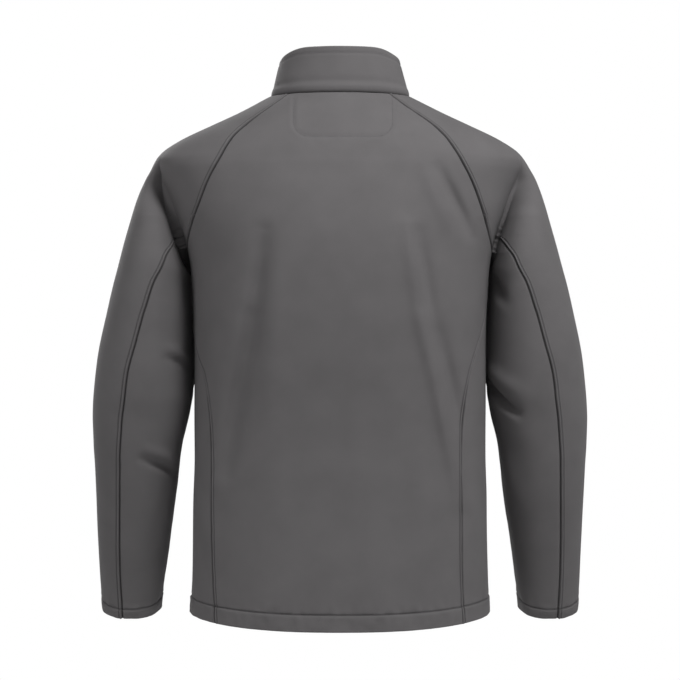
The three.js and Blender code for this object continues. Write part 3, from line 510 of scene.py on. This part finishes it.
def beads(name, places, around, along):
    """A mesh of many small beads, made in short runs because an operator slows down as its mesh grows."""
    mesh = bpy.data.meshes.new(name)
    whole = bmesh.new()
    count = 24
    for first in range(0, len(places), count):
        short = bmesh.new()
        for place in places[first:first + count]:
            bmesh.ops.create_uvsphere(short, u_segments=around, v_segments=along, radius=1.0, matrix=place)
        short.to_mesh(mesh)
        short.free()
        whole.from_mesh(mesh)
    whole.to_mesh(mesh)
    whole.free()
    mesh.shade_smooth()
    return mesh


def thread_material():
    """Spun polyester sewing thread, dyed to match and a little glossier than the cloth."""
    material, tree, shader = new_material("spun_polyester_thread")
    place = add_node(tree, "ShaderNodeTexCoord").outputs["Object"]
    # Twist of the thread, about 0.4 mm from ply to ply.
    ply = add_node(tree, "ShaderNodeTexNoise", Vector=place, Scale=1200.0, Detail=1.0).outputs["Fac"]
    colour = add_node(tree, "ShaderNodeMix", {"data_type": "RGBA"}, Factor=ply, i6=linear("#434144"),
                      i7=linear("#565457"))
    tree.links.new(colour.outputs[2], shader.inputs["Base Color"])
    bump = add_node(tree, "ShaderNodeBump", Height=ply, Strength=0.2, Distance=0.0001)
    tree.links.new(bump.outputs[0], shader.inputs["Normal"])
    shader.inputs["Roughness"].default_value = 0.6
    return material


thread = thread_material()


def stitched(name, paths):
    """All stitch rows of one panel as one piece."""
    mesh = beads(name, [place for path in paths for place in stitch_places(path)], 5, 4)
    mesh.materials.append(thread)
    piece = placed(name, mesh)
    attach(piece, "jacket")
    return piece


def raglan_back(z, side):
    """Angle of a back raglan seam at a height."""
    column = 1 if side > 0 else 2
    share = np.clip(at(RAGLAN_ACROSS, column, z) / at(BODY, 1, z), 0, 1)
    across = np.degrees(np.arcsin(share ** (at(BODY, 4, z) / 2)))
    return np.where(z > RAGLAN_FOOT[0, 0], across, at(RAGLAN_FOOT, column, z))


def back_edge(z, side):
    return np.where(z > UNDERARM_Z, raglan_back(z, side), at(SIDE_SEAMS, 1 if side > 0 else 2, z))


def front_edge(z):
    return np.where(z > UNDERARM_Z, at(RAGLAN, 1, z), at(SIDE_SEAMS, 3, z))


STITCH_COLUMN = int(np.argmin(np.abs(NEAR_SEAM - STITCH_AT)))

back_grid = laid(body_point, BODY_HEIGHTS, back_edge(BODY_HEIGHTS, 1), -back_edge(BODY_HEIGHTS, -1), 160)
# A facing inside the back of the neck is sewn down along a line with rounded corners that shows outside.
PATCH_LEFT, PATCH_RIGHT, PATCH_TOP, PATCH_LOW, PATCH_CORNER = 61.0, -69.0, -8.0, -63.0, 21.0
sweep = np.radians(np.arange(0, 91, 10))
low_left = np.stack([PATCH_LEFT - PATCH_CORNER * (1 - np.cos(sweep)),
                     PATCH_LOW + PATCH_CORNER * (1 - np.sin(sweep))], 1)
low_right = np.stack([PATCH_RIGHT + PATCH_CORNER * (1 - np.sin(sweep)),
                      PATCH_LOW + PATCH_CORNER * (1 - np.cos(sweep))], 1)
outline = np.concatenate([[(PATCH_LEFT, PATCH_TOP)], low_left, low_right, [(PATCH_RIGHT, PATCH_TOP)]])
patch_line = np.stack([outline[:, 0], np.zeros(len(outline)), outline[:, 1]], 1)
# The seams to the side panels are topstitched on the back and on the fronts, the raglan seams on the sleeves.
side_seam_rows = smoothstep(-240, -256, BODY_HEIGHTS)
back, back_face = finished_panel("back_cloth", back_grid, {"first": side_seam_rows, "last": side_seam_rows},
                                 BODY_HEIGHTS, 1.3, line=patch_line)
run = lengths(patch_line[:, None], 0)[:, 0]
even = np.arange(0, run[-1], 1.5)
patch_path = []
for x, _, z in points_at(patch_line, run, even):
    gap = np.hypot(back_face[..., 0] - x, back_face[..., 2] - z).ravel()
    close = np.argsort(gap)[:4]
    share = 1 / (gap[close] + 0.01)
    patch_path.append((x, float((back_face[..., 1].ravel()[close] * share).sum() / share.sum()), z))
low_rows = slice(int(np.argmax(BODY_HEIGHTS < -252)), HEM_STITCH_ROW)
back_stitches = stitched("back_stitches", [back_face[HEM_STITCH_ROW], np.array(patch_path),
                                           back_face[low_rows, STITCH_COLUMN],
                                           back_face[low_rows, -1 - STITCH_COLUMN]])
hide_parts("back")

# Side panels. Narrow shaped pieces of the same cloth from the underarm to the hem, sewn in between the back
# and the fronts, which carry the topstitching of these seams.
SIDE_HEIGHTS = LOWER_HEIGHTS[LOWER_HEIGHTS < -243]
for side, word in ((1, "left"), (-1, "right")):
    front_line, back_line = front_edge(SIDE_HEIGHTS) * side, back_edge(SIDE_HEIGHTS, side) * side
    first, last = (front_line, back_line)[::side]
    grid = laid(body_point, SIDE_HEIGHTS, first, last, 26)
    piece, face = finished_panel(f"side_{word}_cloth", grid, {"first": 0, "last": 0}, SIDE_HEIGHTS,
                                 2.1 * side)
    stitches = stitched(f"side_{word}_stitches", [face[row_at(SIDE_HEIGHTS, HEM_STITCH_Z)]])
    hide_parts(f"side_{word}")

# Fronts. Plain panels that meet at the zip, each turned in along it and topstitched.
ZIP_OPENING = 3.4


def angle_near_front(z, x):
    return 180 - np.degrees(np.arcsin((x / at(BODY, 1, z)) ** (at(BODY, 4, z) / 2)))


for side, word in ((1, "left"), (-1, "right")):
    centre_line = angle_near_front(BODY_HEIGHTS, ZIP_OPENING) * side
    edge_line = front_edge(BODY_HEIGHTS) * side
    first, last = (centre_line, edge_line)[::side]
    grid = laid(body_point, BODY_HEIGHTS, first, last, 56)
    zip_side, seam_side = ("first", "last")[::side]
    piece, face = finished_panel(f"front_{word}_cloth", grid, {zip_side: 1, seam_side: side_seam_rows},
                                 BODY_HEIGHTS, 4.4 * side)
    zip_column, seam_column = (STITCH_COLUMN, -1 - STITCH_COLUMN)[::side]
    stitches = stitched(f"front_{word}_stitches", [face[6:HEM_STITCH_ROW, zip_column], face[HEM_STITCH_ROW],
                                                   face[low_rows, seam_column]])
    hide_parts(f"front_{word}")

# Sleeves. Each is a raglan upper piece from the collar round the outside of the arm to the cuff, and an
# under piece behind, joined down the back of the arm by a topstitched seam, with the cuff turned in.
CUFF_Z = -694.0
CUFF_BAND = 17.0
ARM_SQUARE = 2.25
# Sections of the arm: height, inner and outer reach from the centre line, middle in Y, half depth.
ARM = np.array([
    (0, 94, 94, 0, 30), (-22, 136, 136, 0, 30), (-40, 174, 174, -1, 30), (-60, 216, 216, -2, 30),
    (-76, 240, 240, -3, 32), (-88, 250, 250, -4, 36), (-97, 248, 255.5, -4, 40), (-112, 240, 264, -5, 47),
    (-140, 227, 274.5, -6, 59), (-167, 218, 282.5, -7, 68), (-200, 207, 292, -8, 77),
    (-235, 201, 301, -8, 81), (-250, 202.8, 305, -8.3, 81), (-288, 200.6, 314, -9, 80),
    (-350, 199.4, 327.5, -10, 76),
    (-396, 199.4, 332.5, -12, 71), (-415, 201.8, 334, -14, 68), (-436, 205.8, 334.8, -16, 65),
    (-468, 213.6, 334.6, -21, 62), (-494, 217.5, 333.5, -26, 60), (-544, 224, 332, -36, 55),
    (-587, 230.7, 331, -44, 50.5), (-629, 236.8, 330, -53, 46), (-671, 243.1, 328.4, -61, 41),
    (-694, 246.5, 327.3, -66, 39),
])
CUFF_TILT = 0.24
# Inside the upper arm the sleeve bulges forward against the body, so that no light shows between them.
BULGE = 13.0
# Back sleeve seam: height, angle round the arm from 0 inside over 90 at the back to 180 outside.
SLEEVE_SEAM = np.array([(-190, 28), (-200, 47), (-218, 67), (-270, 87), (-335, 96.5), (-376, 103),
                        (-434, 106), (-542, 107), (-625, 106), (-690, 101)])
# Folds of the sleeves: angle and height of both ends, width, depth, arm (1 left, -1 right).
ARM_FOLDS = [
    (58, -351, 22, -362, 5.5, 7, 1), (62, -340, 26, -350, 8, -3, 1), (82, -486, 18, -511, 5.5, 7, 1),
    (78, -474, 20, -496, 8, -4, 1), (4, -384, 62, -424, 6.5, 15, -1), (8, -398, 58, -434, 7, -2, -1),
    (10, -364, 70, -398, 11, -5, -1), (14, -240, 50, -276, 9, 7, -1), (60, -262, 30, -330, 16, -2, -1),
    (20, -470, 60, -560, 16, -2.5, -1), (25, -480, 55, -600, 14, 2.5, 1), (250, -400, 330, -430, 14, 5, 1),
    (255, -425, 335, -395, 14, 5, -1), (230, -470, 320, -500, 15, 3.5, 1),
    (225, -500, 315, -470, 15, 3.5, -1), (240, -360, 330, -372, 12, 3, 1),
    (245, -350, 325, -360, 12, 3, -1),
]
# The sleeve seam leaves the raglan seam under the fold at the first height and comes out at the second.
SEAM_START_Z = -163.0
SEAM_FOLD_Z = -190.0
# The cloth of the shoulder hangs over the sleeve below it at the back fold: how deep, at heights below the
# neck, and how far out the hollow reaches. The left one is sharp and deep, the right one shallow. The hollow
# ends behind at HANG_END, given as t, and columns lie closer along the fold by FOLD_FINER.
HANG_END = 1.2
FOLD_FINER = 5.0
FOLD_HEIGHTS = (84, 100, 120, 150, 190, 225, 240)
FOLD_DROPS = {"left": ((0, 7, 12, 15, 16, 13, 0), 27.0), "right": ((0, 2, 3.5, 5, 5, 4, 0), 17.0)}


def arm_point(z, turn):
    inner, outer, middle, depth = (at(ARM, k, z) for k in (1, 2, 3, 4))
    power = 2 / ARM_SQUARE
    x = (inner + outer) / 2 - (outer - inner) / 2 * squared(np.cos(np.radians(turn)), power)
    y = middle + depth * squared(np.sin(np.radians(turn)), power)
    lean = (at(ARM, 3, z + 12) - at(ARM, 3, z - 12)) / 24 * smoothstep(280, 420, -z)
    lean = lean + CUFF_TILT * smoothstep(600, -CUFF_Z, -z)
    ahead = np.clip((360 - turn) / 80, 0, 1)
    bulge = np.sin(np.pi * ahead) ** 2 * smoothstep(208, 238, -z) * (1 - smoothstep(380, 402, -z))
    return np.stack([x - BULGE * bulge, y, z - lean * (y - middle)], axis=-1)


def turn_at(z, y):
    """Turn at which an arm's oval has a given Y, on its inner side."""
    part = (y - at(ARM, 3, z)) / at(ARM, 4, z)
    return np.sign(part) * np.degrees(np.arcsin(np.minimum(np.abs(part), 0.98) ** (ARM_SQUARE / 2)))


def armhole(z, arm):
    back, front = raglan_back(z, arm), at(RAGLAN, 1, z)
    return back, front, np.maximum(at(RAGLAN, 2, z), back), np.minimum(at(RAGLAN, 3, z), front)


def sleeve_point(z, t, arm):
    """Point of the left sleeve. t is -1 at the back raglan seam, 0 at the back fold, 1 outside, 2 at the
    front fold, 3 at the front raglan seam. Below the underarm the level is an oval from 0 to 2."""
    z, t = np.broadcast_arrays(z, t)
    back, front, fold_back, fold_front = armhole(z, arm)
    behind = body_point(z, (fold_back + t * (fold_back - back)) * arm)
    ahead = body_point(z, (fold_front + (t - 2) * (front - fold_front)) * arm)
    is_back = t < 1
    q = np.clip(np.where(is_back, t, 2 - t), 0, 1)
    fold = np.where(is_back, fold_back, fold_front)
    anchor = body_point(z, fold * arm)
    start = turn_at(z, anchor[..., 1])
    turn = np.where(is_back, start + q * (180 - start), 360 + start - q * (180 + start))
    wider = at(ARM, 2, z) / at(BODY, 1, z)
    arm_share = smoothstep(84, 165, -z)[..., None]

    def blended(angle, ring_turn):
        shoulder = body_point(z, angle * arm) * np.stack([wider * arm, np.ones_like(z), np.ones_like(z)], -1)
        return shoulder + (arm_point(z, ring_turn) - shoulder) * arm_share

    for shape in (behind, ahead, anchor):
        shape[..., 0] *= arm
    point = blended(fold + q * (90 - fold), turn)
    begin = blended(fold, np.where(is_back, start, 360 + start))
    cap = point + (anchor - begin) * ((1 - q) ** 4)[..., None]
    open_level = np.where((t <= 0)[..., None], behind, np.where((t >= 2)[..., None], ahead, cap))
    closed = arm_point(z, np.clip(t, 0, 2) * 180)
    p = np.where((z > UNDERARM_Z)[..., None], open_level, closed)
    turn = np.clip(t, 0, 2) * 180
    press = sum(trough(turn, p[..., 2], fold) for fold in ARM_FOLDS if fold[6] == arm)
    heart = np.stack([(at(ARM, 1, z) + at(ARM, 2, z)) / 2, at(ARM, 3, z), p[..., 2]], -1) - p
    far = np.maximum(np.linalg.norm(heart, axis=-1), 1e-6)
    return p + heart * (press * smoothstep(0, 12, turn) / far)[..., None]


def sleeve_seam(z, arm):
    """Where the back sleeve seam crosses a level, as t."""
    above = -1 + (SEAM_START_Z - z) / (SEAM_START_Z - SEAM_FOLD_Z)
    turn = at(SLEEVE_SEAM, 1, z)
    start = turn_at(z, body_point(z, armhole(z, arm)[2] * arm)[..., 1])
    inside = np.maximum((turn - start) / (180 - start), 0.02)
    return np.where(z > SEAM_FOLD_Z, above, np.where(z > UNDERARM_Z, inside, turn / 180))


ARM_HEIGHTS = np.concatenate([UPPER_HEIGHTS, np.arange(-236, -668, -4.4), [
    -671, -673.4, -675, -676, -677, -677.7, -678.6, -680, -682.4, -685, -688, -690.6, -692.5]])
UNDER_HEIGHTS = ARM_HEIGHTS[ARM_HEIGHTS < SEAM_START_Z]
CUFF_BAND_HIGH = 1.1
DEEPEST_FOLD = -16.0
RING = np.linspace(3.0, -1.0, 1200)


def run_to(arc, places):
    """Running lengths, level by level, from the front raglan seam to places on a sleeve, given as t."""
    return np.stack([np.interp(-t, -RING, level) for t, level in zip(places, arc)])


for arm, word in ((1, "left"), (-1, "right")):
    for part, heights in (("upper", ARM_HEIGHTS), ("under", UNDER_HEIGHTS)):
        cuff_row = row_at(heights, CUFF_Z + CUFF_BAND)
        is_hole = heights > UNDERARM_Z
        seam_line = np.where(heights < SEAM_START_Z, sleeve_seam(heights, arm), -1.0)
        if part == "upper":
            first, last, middle = np.where(is_hole, 3.0, 2.0), seam_line, 92
        else:
            first, last, middle = seam_line, np.where(is_hole, -1.0, 0.0), 34
        shape = partial(sleeve_point, arm=arm)
        arc = lengths(shape(heights[:, None], RING[None]), 1)
        begin, at_fold, outmost = (run_to(arc, t) for t in (first, 0 * first, 0 * first + 1))
        steady = outmost - begin if part == "upper" else None
        fold_fades = smoothstep(-236, -215, heights) * smoothstep(-60, -90, heights)
        grid = laid(shape, heights, first, last, middle, at_fold - begin, FOLD_FINER * fold_fades, steady)
        # Above the fold the sleeve seam lies hidden under the shoulder's cloth, flat.
        hidden = NONE_NEAR * ((heights > SEAM_FOLD_Z) & (heights < SEAM_START_Z))[:, None]
        under_fold = "last" if part == "upper" else "first"
        grid[under_fold] = grid[under_fold] + hidden
        points, normals = grid["points"], grid["normals"]
        beyond = at_fold[:, None] - run_to(arc, grid["place"])
        depth, reach = FOLD_DROPS[word]
        drop = np.interp(-heights, FOLD_HEIGHTS, depth)[:, None]
        fades = np.exp(-(np.maximum(beyond, 0) / reach) ** 1.3)
        hang = smoothstep(0, 3.5, beyond) * fades * (grid["place"] < HANG_END)
        # The back sleeve seam is topstitched on the upper piece, the raglan seams on both pieces.
        on_raglan = smoothstep(-246, -236, heights)
        seams = {"first": on_raglan, "last": 1} if part == "upper" else {"first": 0, "last": on_raglan}
        out, near, marks = sewn(grid, seams, heights, CUFF_Z + CUFF_BAND, CUFF_BAND_HIGH)
        out += pucker(points, near, 17.0, 0.5, 6.3 * arm)
        out += pucker(points, np.ones_like(near), 80.0, 0.9, 7.7 * arm) - drop * hang
        points = points + normals * np.maximum(out, DEEPEST_FOLD)[..., None]
        arm_rows = slice(4, cuff_row)
        raglan_rows = slice(4, int(np.argmax(heights < -240)))
        if part == "upper":
            paths = [points[arm_rows, -1 - STITCH_COLUMN], points[raglan_rows, STITCH_COLUMN],
                     points[cuff_row]]
        else:
            paths = [points[raglan_rows, -1 - STITCH_COLUMN], points[cuff_row]]
        points, marks = turned_in(points, normals, marks, HEM_TURN, 9)
        mirror = np.array([arm, 1, 1])
        if arm < 0:
            points, marks = points[:, ::-1], {k: v[:, ::-1] for k, v in marks.items()}
        piece = shell_piece(f"sleeve_{part}_{word}_cloth", points * mirror, marks)
        stitches = stitched(f"sleeve_{part}_{word}_stitches", [path * mirror for path in paths])
        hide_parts(f"sleeve_{part}_{word}")

# Collar. A stand of two layers, sewn to the neck edge and turned at the top, where its edge is topstitched.
# It stands up by the stiffness of the doubled cloth and leans in to the neck.
COLLAR_HEIGHT = 60.0
COLLAR_LEAN_IN = 13.0
COLLAR_THICK = 3.4
COLLAR_SIDE_DROP = 11.5


def collar_point(h, angle):
    h, angle = np.broadcast_arrays(h, angle)
    p = body_point(np.zeros_like(h), angle)
    share = h / COLLAR_HEIGHT
    p[..., 0] *= 1 - COLLAR_LEAN_IN / BODY[0, 1] * (1.15 * share - 0.15 * share * share)
    p[..., 1] *= np.where(p[..., 1] > 0, 1 - 0.05 * share, 1 + 0.02 * share)
    lower = 1 - COLLAR_SIDE_DROP / COLLAR_HEIGHT * smoothstep(30, 88, np.abs(angle))
    p[..., 2] += h * lower - 0.7
    return p


COLLAR_STITCH_HEIGHT = 53.0
COLLAR_HEIGHTS = np.concatenate([
    [59.6, 58.6, 57.4, 56, 54.6, COLLAR_STITCH_HEIGHT], np.arange(50, 9, -2.4),
    [8, 6.6, 5.2, 4, 3, 2.1, 1.3, 0.6, 0]])
edge_line = np.full(len(COLLAR_HEIGHTS), angle_near_front(0.0, ZIP_OPENING))
grid = laid(collar_point, COLLAR_HEIGHTS, -edge_line, edge_line, 110)
grid = {key: value[:, ::-1] for key, value in grid.items()}
points, normals = grid["points"], -grid["normals"]
rise = COLLAR_HEIGHTS[:, None]
# A soft roll lies over the seam at the back and a hollow above it, and both die out at the sides.
behind = smoothstep(100, 60, np.abs(grid["place"]))
out = (0.3 + 0.9 * behind) * np.exp(-((rise - 8.0) / 5.0) ** 2) - 1.6 * np.exp(-(rise / 2.0) ** 2)
out -= 0.7 * behind * np.exp(-((rise - 15.0) / 4.0) ** 2)
out -= 0.7 * np.exp(-((rise - COLLAR_STITCH_HEIGHT) / 0.9) ** 2)
out += pucker(points, np.ones_like(out), 30.0, 1.0, 8.2)
out += seam_roll(grid["first"], 1) + seam_roll(grid["last"], 1)
points = points + normals * out[..., None]
top_stitch = points[row_at(COLLAR_HEIGHTS, COLLAR_STITCH_HEIGHT)]
# Over the top edge, then down inside as the inner layer.
up = points[0] - points[1]
up /= np.linalg.norm(up, axis=-1, keepdims=True)
half = COLLAR_THICK / 2
over = [points[0] - normals[0] * half * (1 - math.cos(a)) + up * half * math.sin(a)
        for a in np.radians((180, 150, 120, 90, 60, 30))]
inner_rows = list(range(len(points) - 1, 0, -2))
inside = [points[r] - normals[r] * (COLLAR_THICK + 0.2) for r in inner_rows]
edges = np.minimum(grid["first"], grid["last"])
hidden = np.concatenate([edges[inner_rows], np.tile(edges[0], (len(over), 1))])
marks = {"seam": np.concatenate([hidden, np.minimum(edges, rise)]),
         "groove": np.abs(np.concatenate([hidden, edges]) - STITCH_AT)}
points = np.concatenate([np.stack(inside), np.stack(over), points])
collar = shell_piece("collar_cloth", points, marks)
collar_stitches = stitched("collar_stitches", [top_stitch])
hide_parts("collar")

# Zip. Two woven tapes behind the fronts, a closed nylon coil between them, and a lacquered zinc slider with
# a swinging pull tab at the top.
ZIP_TAPE_THICK = 0.8
ZIP_TAPE_FROM, ZIP_TAPE_TO = 0.3, 13.0
ZIP_TAPE_SUNK = 3.6


def woven_tape():
    """Woven polyester tape, dense and dull, with a fine rib across."""
    material, tree, shader = new_material("woven_polyester_tape")
    place = add_node(tree, "ShaderNodeTexCoord").outputs["Object"]
    # Herringbone of 0.6 mm threads, drawn at its real size.
    rib = add_node(tree, "ShaderNodeTexWave", {"bands_direction": "Z"}, Vector=place, Scale=260.0,
                   Distortion=1.2).outputs["Fac"]
    colour = add_node(tree, "ShaderNodeMix", {"data_type": "RGBA"}, Factor=rib, i6=linear("#1d1d1f"),
                      i7=linear("#2c2c2f"))
    tree.links.new(colour.outputs[2], shader.inputs["Base Color"])
    bump = add_node(tree, "ShaderNodeBump", Height=rib, Strength=0.3, Distance=0.0002)
    tree.links.new(bump.outputs[0], shader.inputs["Normal"])
    shader.inputs["Roughness"].default_value = 0.85
    return material


def moulded_coil():
    """Nylon monofilament coil, smooth and half glossy."""
    material, tree, shader = new_material("nylon_coil")
    place = add_node(tree, "ShaderNodeTexCoord").outputs["Object"]
    wear = add_node(tree, "ShaderNodeTexNoise", Vector=place, Scale=900.0, Detail=2.0).outputs["Fac"]
    colour = add_node(tree, "ShaderNodeMix", {"data_type": "RGBA"}, Factor=wear, i6=linear("#202022"),
                      i7=linear("#343437"))
    tree.links.new(colour.outputs[2], shader.inputs["Base Color"])
    rough = add_node(tree, "ShaderNodeMapRange", Value=wear, To_Min=0.35, To_Max=0.55).outputs[0]
    tree.links.new(rough, shader.inputs["Roughness"])
    return material


def lacquered_zinc():
    """Die-cast zinc with a dark baked lacquer, satin, worn lighter in fine scratches."""
    material, tree, shader = new_material("lacquered_zinc_casting")
    place = add_node(tree, "ShaderNodeTexCoord").outputs["Object"]
    scratch = add_node(tree, "ShaderNodeTexNoise", Vector=place, Scale=700.0, Detail=4.0).outputs["Fac"]
    wear = add_node(tree, "ShaderNodeMapRange", Value=scratch, From_Min=0.58, From_Max=0.72)
    colour = add_node(tree, "ShaderNodeMix", {"data_type": "RGBA"}, Factor=wear.outputs[0],
                      i6=linear("#39393c"), i7=linear("#6a6a6e"))
    tree.links.new(colour.outputs[2], shader.inputs["Base Color"])
    rough = add_node(tree, "ShaderNodeMapRange", Value=scratch, To_Min=0.28, To_Max=0.5).outputs[0]
    tree.links.new(rough, shader.inputs["Roughness"])
    shader.inputs["Metallic"].default_value = 0.85
    return material


tape_material, coil_material, zinc_material = woven_tape(), moulded_coil(), lacquered_zinc()


def zip_line(x, sunk):
    """Points down the front at a distance from the centre line, sunk below the outer face."""
    collar_rows = collar_point(COLLAR_HEIGHTS, angle_near_front(0.0, abs(x)))
    body_rows = body_point(BODY_HEIGHTS, angle_near_front(BODY_HEIGHTS, abs(x)))
    points = np.concatenate([collar_rows, body_rows])
    points[:, 0] = x
    points[:, 1] += sunk
    return points


for side, word in ((1, "left"), (-1, "right")):
    offsets = (np.linspace(ZIP_TAPE_FROM, ZIP_TAPE_TO, 5) * side)[::side]
    strip = np.stack([zip_line(x, ZIP_TAPE_SUNK) for x in offsets], axis=1)
    tape = thickened(cloth_mesh(f"zip_tape_{word}_woven", strip, {}), ZIP_TAPE_THICK)
    tape.data.materials.append(tape_material)
    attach(tape, "jacket")
    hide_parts(f"zip_tape_{word}")

COIL_PITCH = 1.9
COIL_SIZE = (2.2, 0.75, 0.62)
COIL_SHIFT = 0.55
COIL_SUNK = 0.9
centre = zip_line(0.01, COIL_SUNK)
run = lengths(centre[:, None], 0)[:, 0]
spots = np.arange(1.5, run[-1] - 1.5, COIL_PITCH)
coil_places = []
for number, ends in enumerate(zip(points_at(centre, run, spots), points_at(centre, run, spots + 1))):
    p, q = (Vector(end) * MM for end in ends)
    down = (q - p).normalized()
    shift = Vector((COIL_SHIFT * (1 if number % 2 else -1) * MM, 0, 0))
    turn = Matrix((Vector((1, 0, 0)), down.cross(Vector((1, 0, 0))), down)).transposed().to_4x4()
    size = Matrix.Diagonal([half * MM for half in COIL_SIZE] + [1])
    coil_places.append(Matrix.Translation(p + shift) @ turn @ size)
coil_mesh = beads("zip_coil", coil_places, 8, 5)
coil_mesh.materials.append(coil_material)
coil = placed("zip_coil", coil_mesh)
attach(coil, "jacket")
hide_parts("zip_chain")

for node, body in (("zip_slider", "jacket"), ("zip_pull", "zip_pull")):
    bm = bmesh.new()
    bm.from_mesh(bpy.data.objects[node].data)
    bmesh.ops.remove_doubles(bm, verts=bm.verts, dist=0.01 * MM)
    bmesh.ops.dissolve_limit(bm, angle_limit=math.radians(2), verts=bm.verts, edges=bm.edges)
    mesh = bpy.data.meshes.new(f"{node}_cast")
    bm.to_mesh(mesh)
    bm.free()
    mesh.materials.append(zinc_material)
    piece = placed(f"{node}_cast", mesh)
    rounded = piece.modifiers.new("rounded", "BEVEL")
    rounded.width = 0.3 * MM
    rounded.segments = 2
    rounded.limit_method = "ANGLE"
    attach(piece, body)
    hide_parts(node)

# Studio. A white surround and a pale floor at standing height below the shoulders. The key light is soft and
# stands high on the right of the picture, with weaker ones at both sides and in front. The camera is level,
# behind the jacket.
world = bpy.data.worlds.new("studio")
bpy.context.scene.world = world
world.use_nodes = True
sky = world.node_tree
towards = add_node(sky, "ShaderNodeTexCoord").outputs["Generated"]
upward = add_node(sky, "ShaderNodeSeparateXYZ", Vector=towards)
away = add_node(sky, "ShaderNodeMath", {"operation": "ABSOLUTE"}, i0=upward.outputs[2]).outputs[0]
level = add_node(sky, "ShaderNodeMapRange", Value=away, From_Min=0.17, From_Max=0.26,
                 To_Min=1.0, To_Max=0.12).outputs[0]
sky.links.new(level, sky.nodes["Background"].inputs["Strength"])
sky.nodes["Background"].inputs["Color"].default_value = (1, 1, 1, 1)

FLOOR_Z = -1.45
FLOOR_RADIUS = 2.6
bm = bmesh.new()
bmesh.ops.create_circle(bm, cap_ends=True, segments=96, radius=FLOOR_RADIUS)
floor_mesh = bpy.data.meshes.new("studio_floor")
bm.to_mesh(floor_mesh)
bm.free()
floor = placed("studio_floor", floor_mesh)
floor.location = (0, 0, FLOOR_Z)
paper, tree, shader = new_material("pale_paper")
grain = add_node(tree, "ShaderNodeTexNoise", Scale=6.0).outputs["Fac"]
shade = add_node(tree, "ShaderNodeMix", {"data_type": "RGBA"}, Factor=grain, i6=linear("#dcdcdc"),
                 i7=linear("#e2e2e2"))
tree.links.new(shade.outputs[2], shader.inputs["Base Color"])
shader.inputs["Roughness"].default_value = 0.9
floor_mesh.materials.append(paper)
floor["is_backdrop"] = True


def area_light(name, place, target, size, power):
    light = bpy.data.lights.new(name, "AREA")
    light.shape = "DISK"
    light.size = size
    light.energy = power
    lamp = placed(name, light)
    lamp.location = place
    lamp.rotation_euler = (Vector(target) - Vector(place)).to_track_quat("-Z", "Y").to_euler()


area_light("key", (-0.7, 1.1, 1.25), (0, 0.05, -0.3), 0.6, 34)
area_light("side", (-2.0, 1.2, 0.7), (0, 0.05, -0.3), 0.7, 12)
area_light("fill", (1.9, 1.2, 1.1), (0, 0.05, -0.3), 0.9, 17)
area_light("front", (1.4, -2.2, 0.9), (0, 0, -0.3), 1.6, 40)

CAMERA_AWAY = 3.0
CAMERA_Z = -0.328
FRAME_WIDTH = 0.918
camera = bpy.data.cameras.new("photo_view")
camera.sensor_width = 36.0
camera.lens = camera.sensor_width * CAMERA_AWAY / FRAME_WIDTH
view = placed("photo_view", camera)
view.location = (0, CAMERA_AWAY, CAMERA_Z)
view.rotation_euler = (math.radians(90), 0, math.radians(180))
bpy.context.scene.camera = view
bpy.context.scene.view_settings.view_transform = "Standard"

size = {"cad": [list(map(float, corner)) for corner in cad_box],
        "visual": [list(map(float, corner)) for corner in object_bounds()]}
